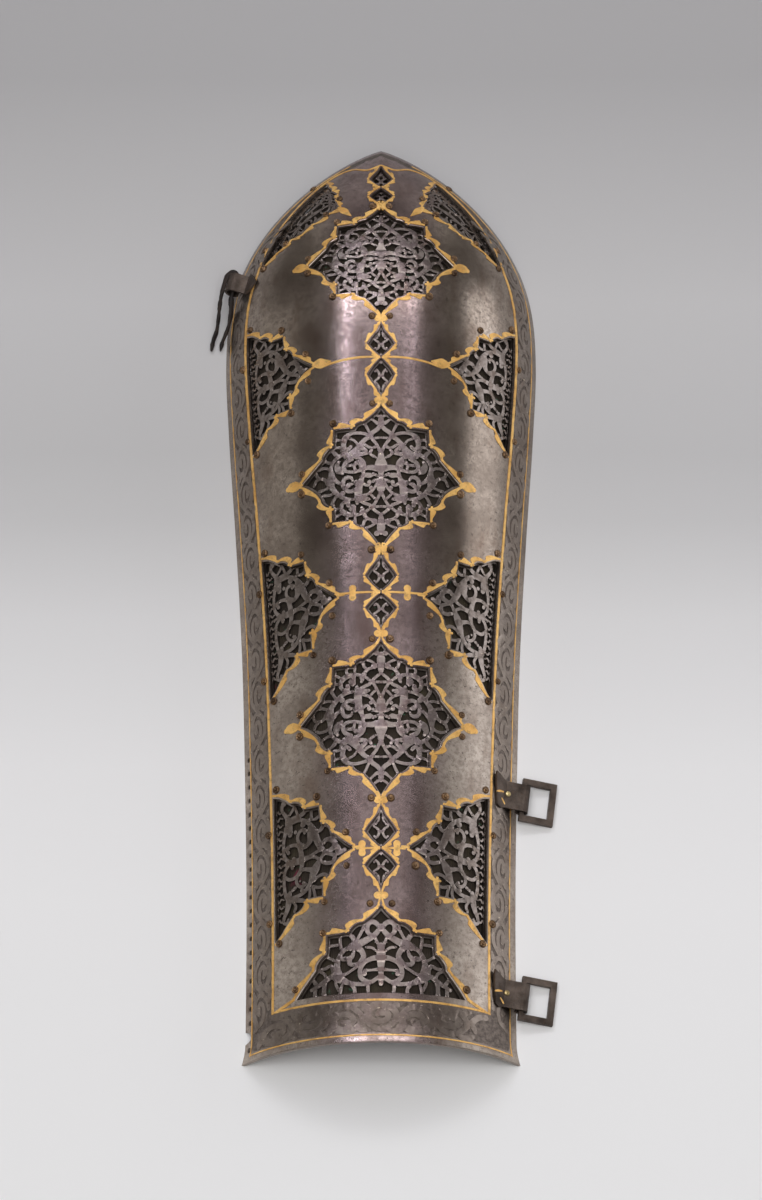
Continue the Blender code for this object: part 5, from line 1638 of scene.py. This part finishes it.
def floorMaterial():
    material, tree, shader, make = nodeMaker("paperFloorPaintedFalloff", 0.0, 0.85)
    place3 = make("ShaderNodeTexCoord").outputs["Object"]
    # The colour darkens and tints away from the front: a painted light falloff on the pale paper
    depth = make("ShaderNodeSeparateXYZ", {"Vector": place3}).outputs["Y"]
    spread = make("ShaderNodeMapRange", {"Value": depth})
    spread.inputs["From Min"].default_value = room["falloffNear"]
    spread.inputs["From Max"].default_value = room["falloffFar"]
    paperAndFalloff = ramp(make, spread.outputs["Result"], *room["paperAndFalloff"])
    paperAndFalloff = mix(make, spread.outputs["Result"], paperAndFalloff, mix(make, 1.0, paperAndFalloff, room["falloffTint"], "MULTIPLY"))
    tree.links.new(paperAndFalloff, shader.inputs["Base Color"])
    return material


def areaLight(name, location, aim, size, power, colour=(1.0, 1.0, 1.0)):
    # The panel's longer side runs along the guard
    data = bpy.data.lights.new(name, "AREA")
    data.shape = "RECTANGLE"
    data.size, data.size_y = size
    data.energy = power
    data.color = colour
    lamp = bpy.data.objects.new(name, data)
    bpy.context.scene.collection.objects.link(lamp)
    back = (Vector(location) - Vector(aim)).normalized()
    run = (Vector((0.0, 1.0, 0.0)) - back * back.y).normalized()
    lamp.matrix_world = Matrix.Translation(location) @ Matrix((run.cross(back), run, back)).transposed().to_4x4()


def stripLight(name, lean, reach, width, power, colour, farther):
    # A narrow light over the guard, where a surface leaning half as much mirrors it to the camera
    away = math.cos(math.radians(room["elevation"]))
    high = math.sin(math.radians(room["elevation"]))
    turn = math.radians(lean)
    location = (high * math.sin(turn) * reach, away * reach + farther, high * math.cos(turn) * reach)
    areaLight(name, location, (0.0, location[1], 0.0), (width, 1.5), power, colour)


def buildRoom():
    bpy.ops.object.select_all(action="DESELECT")
    bpy.ops.mesh.primitive_plane_add(size=6.0, location=(0, 0, 0))
    floor = bpy.context.object
    floor.name = "floor"
    floor.data.materials.append(floorMaterial())
    world = bpy.data.worlds.new("studio")
    world.use_nodes = True
    background = world.node_tree.nodes["Background"]
    background.inputs["Color"].default_value = (0.93, 0.86, 0.81, 1.0)
    background.inputs["Strength"].default_value = 0.12
    bpy.context.scene.world = world
    bpy.context.scene.view_settings.view_transform = "Standard"
    stripLight("stripLeft", -23.5, 1.6, 0.045, 4.0, (0.92, 0.95, 1.08), 0.6)
    stripLight("stripRight", 20.5, 1.6, 0.09, 1.6, (0.96, 0.96, 1.07), 0.6)
    stripLight("ceiling", -1.5, 1.55, 0.95, 2.1, (0.98, 0.95, 1.0), 0.0)
    areaLight("wallRight", (1.5, 0.52, 0.42), (0.0, 0.52, 0.25), (0.74, 1.55), 6.0, (0.96, 0.97, 1.02))
    areaLight("wallLeft", (-1.5, 0.40, 0.45), (0.0, 0.40, 0.3), (0.9, 1.35), 1.45)
    areaLight("front", (0.0, -0.55, 1.1), (0.0, -0.12, 0.0), (1.6, 0.8), 4.5)
    areaLight("top", (0.0, -0.1, 1.7), (0.0, 0.0, 0.0), (1.2, 0.5), 3.5)
    areaLight("farFill", (0.0, -0.45, 1.9), (0.0, 0.6, 0.0), (1.2, 0.6), 5.5)
    areaLight("back", (0.0, 1.25, 1.45), (0.0, 0.0, 0.0), (1.4, 0.3), 5.0)
    areaLight("backdrop", (0.0, 2.6, 0.45), (0.0, 0.0, 0.1), (3.2, 0.9), 3.2)
    eye = math.radians(room["elevation"])
    target = place([(0.0, room["target"], 0.0)])[0]
    back = Vector((0.0, -math.cos(eye), math.sin(eye)))
    data = bpy.data.cameras.new("camera")
    data.sensor_width = 36.0
    data.lens = room["focalPixels"] / room["imageLong"] * data.sensor_width
    data.shift_x = room["shiftX"]
    data.shift_y = room["shiftY"]
    data.clip_start = 0.05
    data.clip_end = 20.0
    camera = bpy.data.objects.new("camera", data)
    bpy.context.scene.collection.objects.link(camera)
    camera.location = Vector(target) + back * room["distance"] * mm
    camera.rotation_euler = (-back).to_track_quat("-Z", "Y").to_euler()
    bpy.context.scene.camera = camera


buildRoom()
print("room made")

for node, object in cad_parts.items():
    if not object.hide_render:
        object.data.materials.clear()
        object.data.materials.append(materials["iron"])
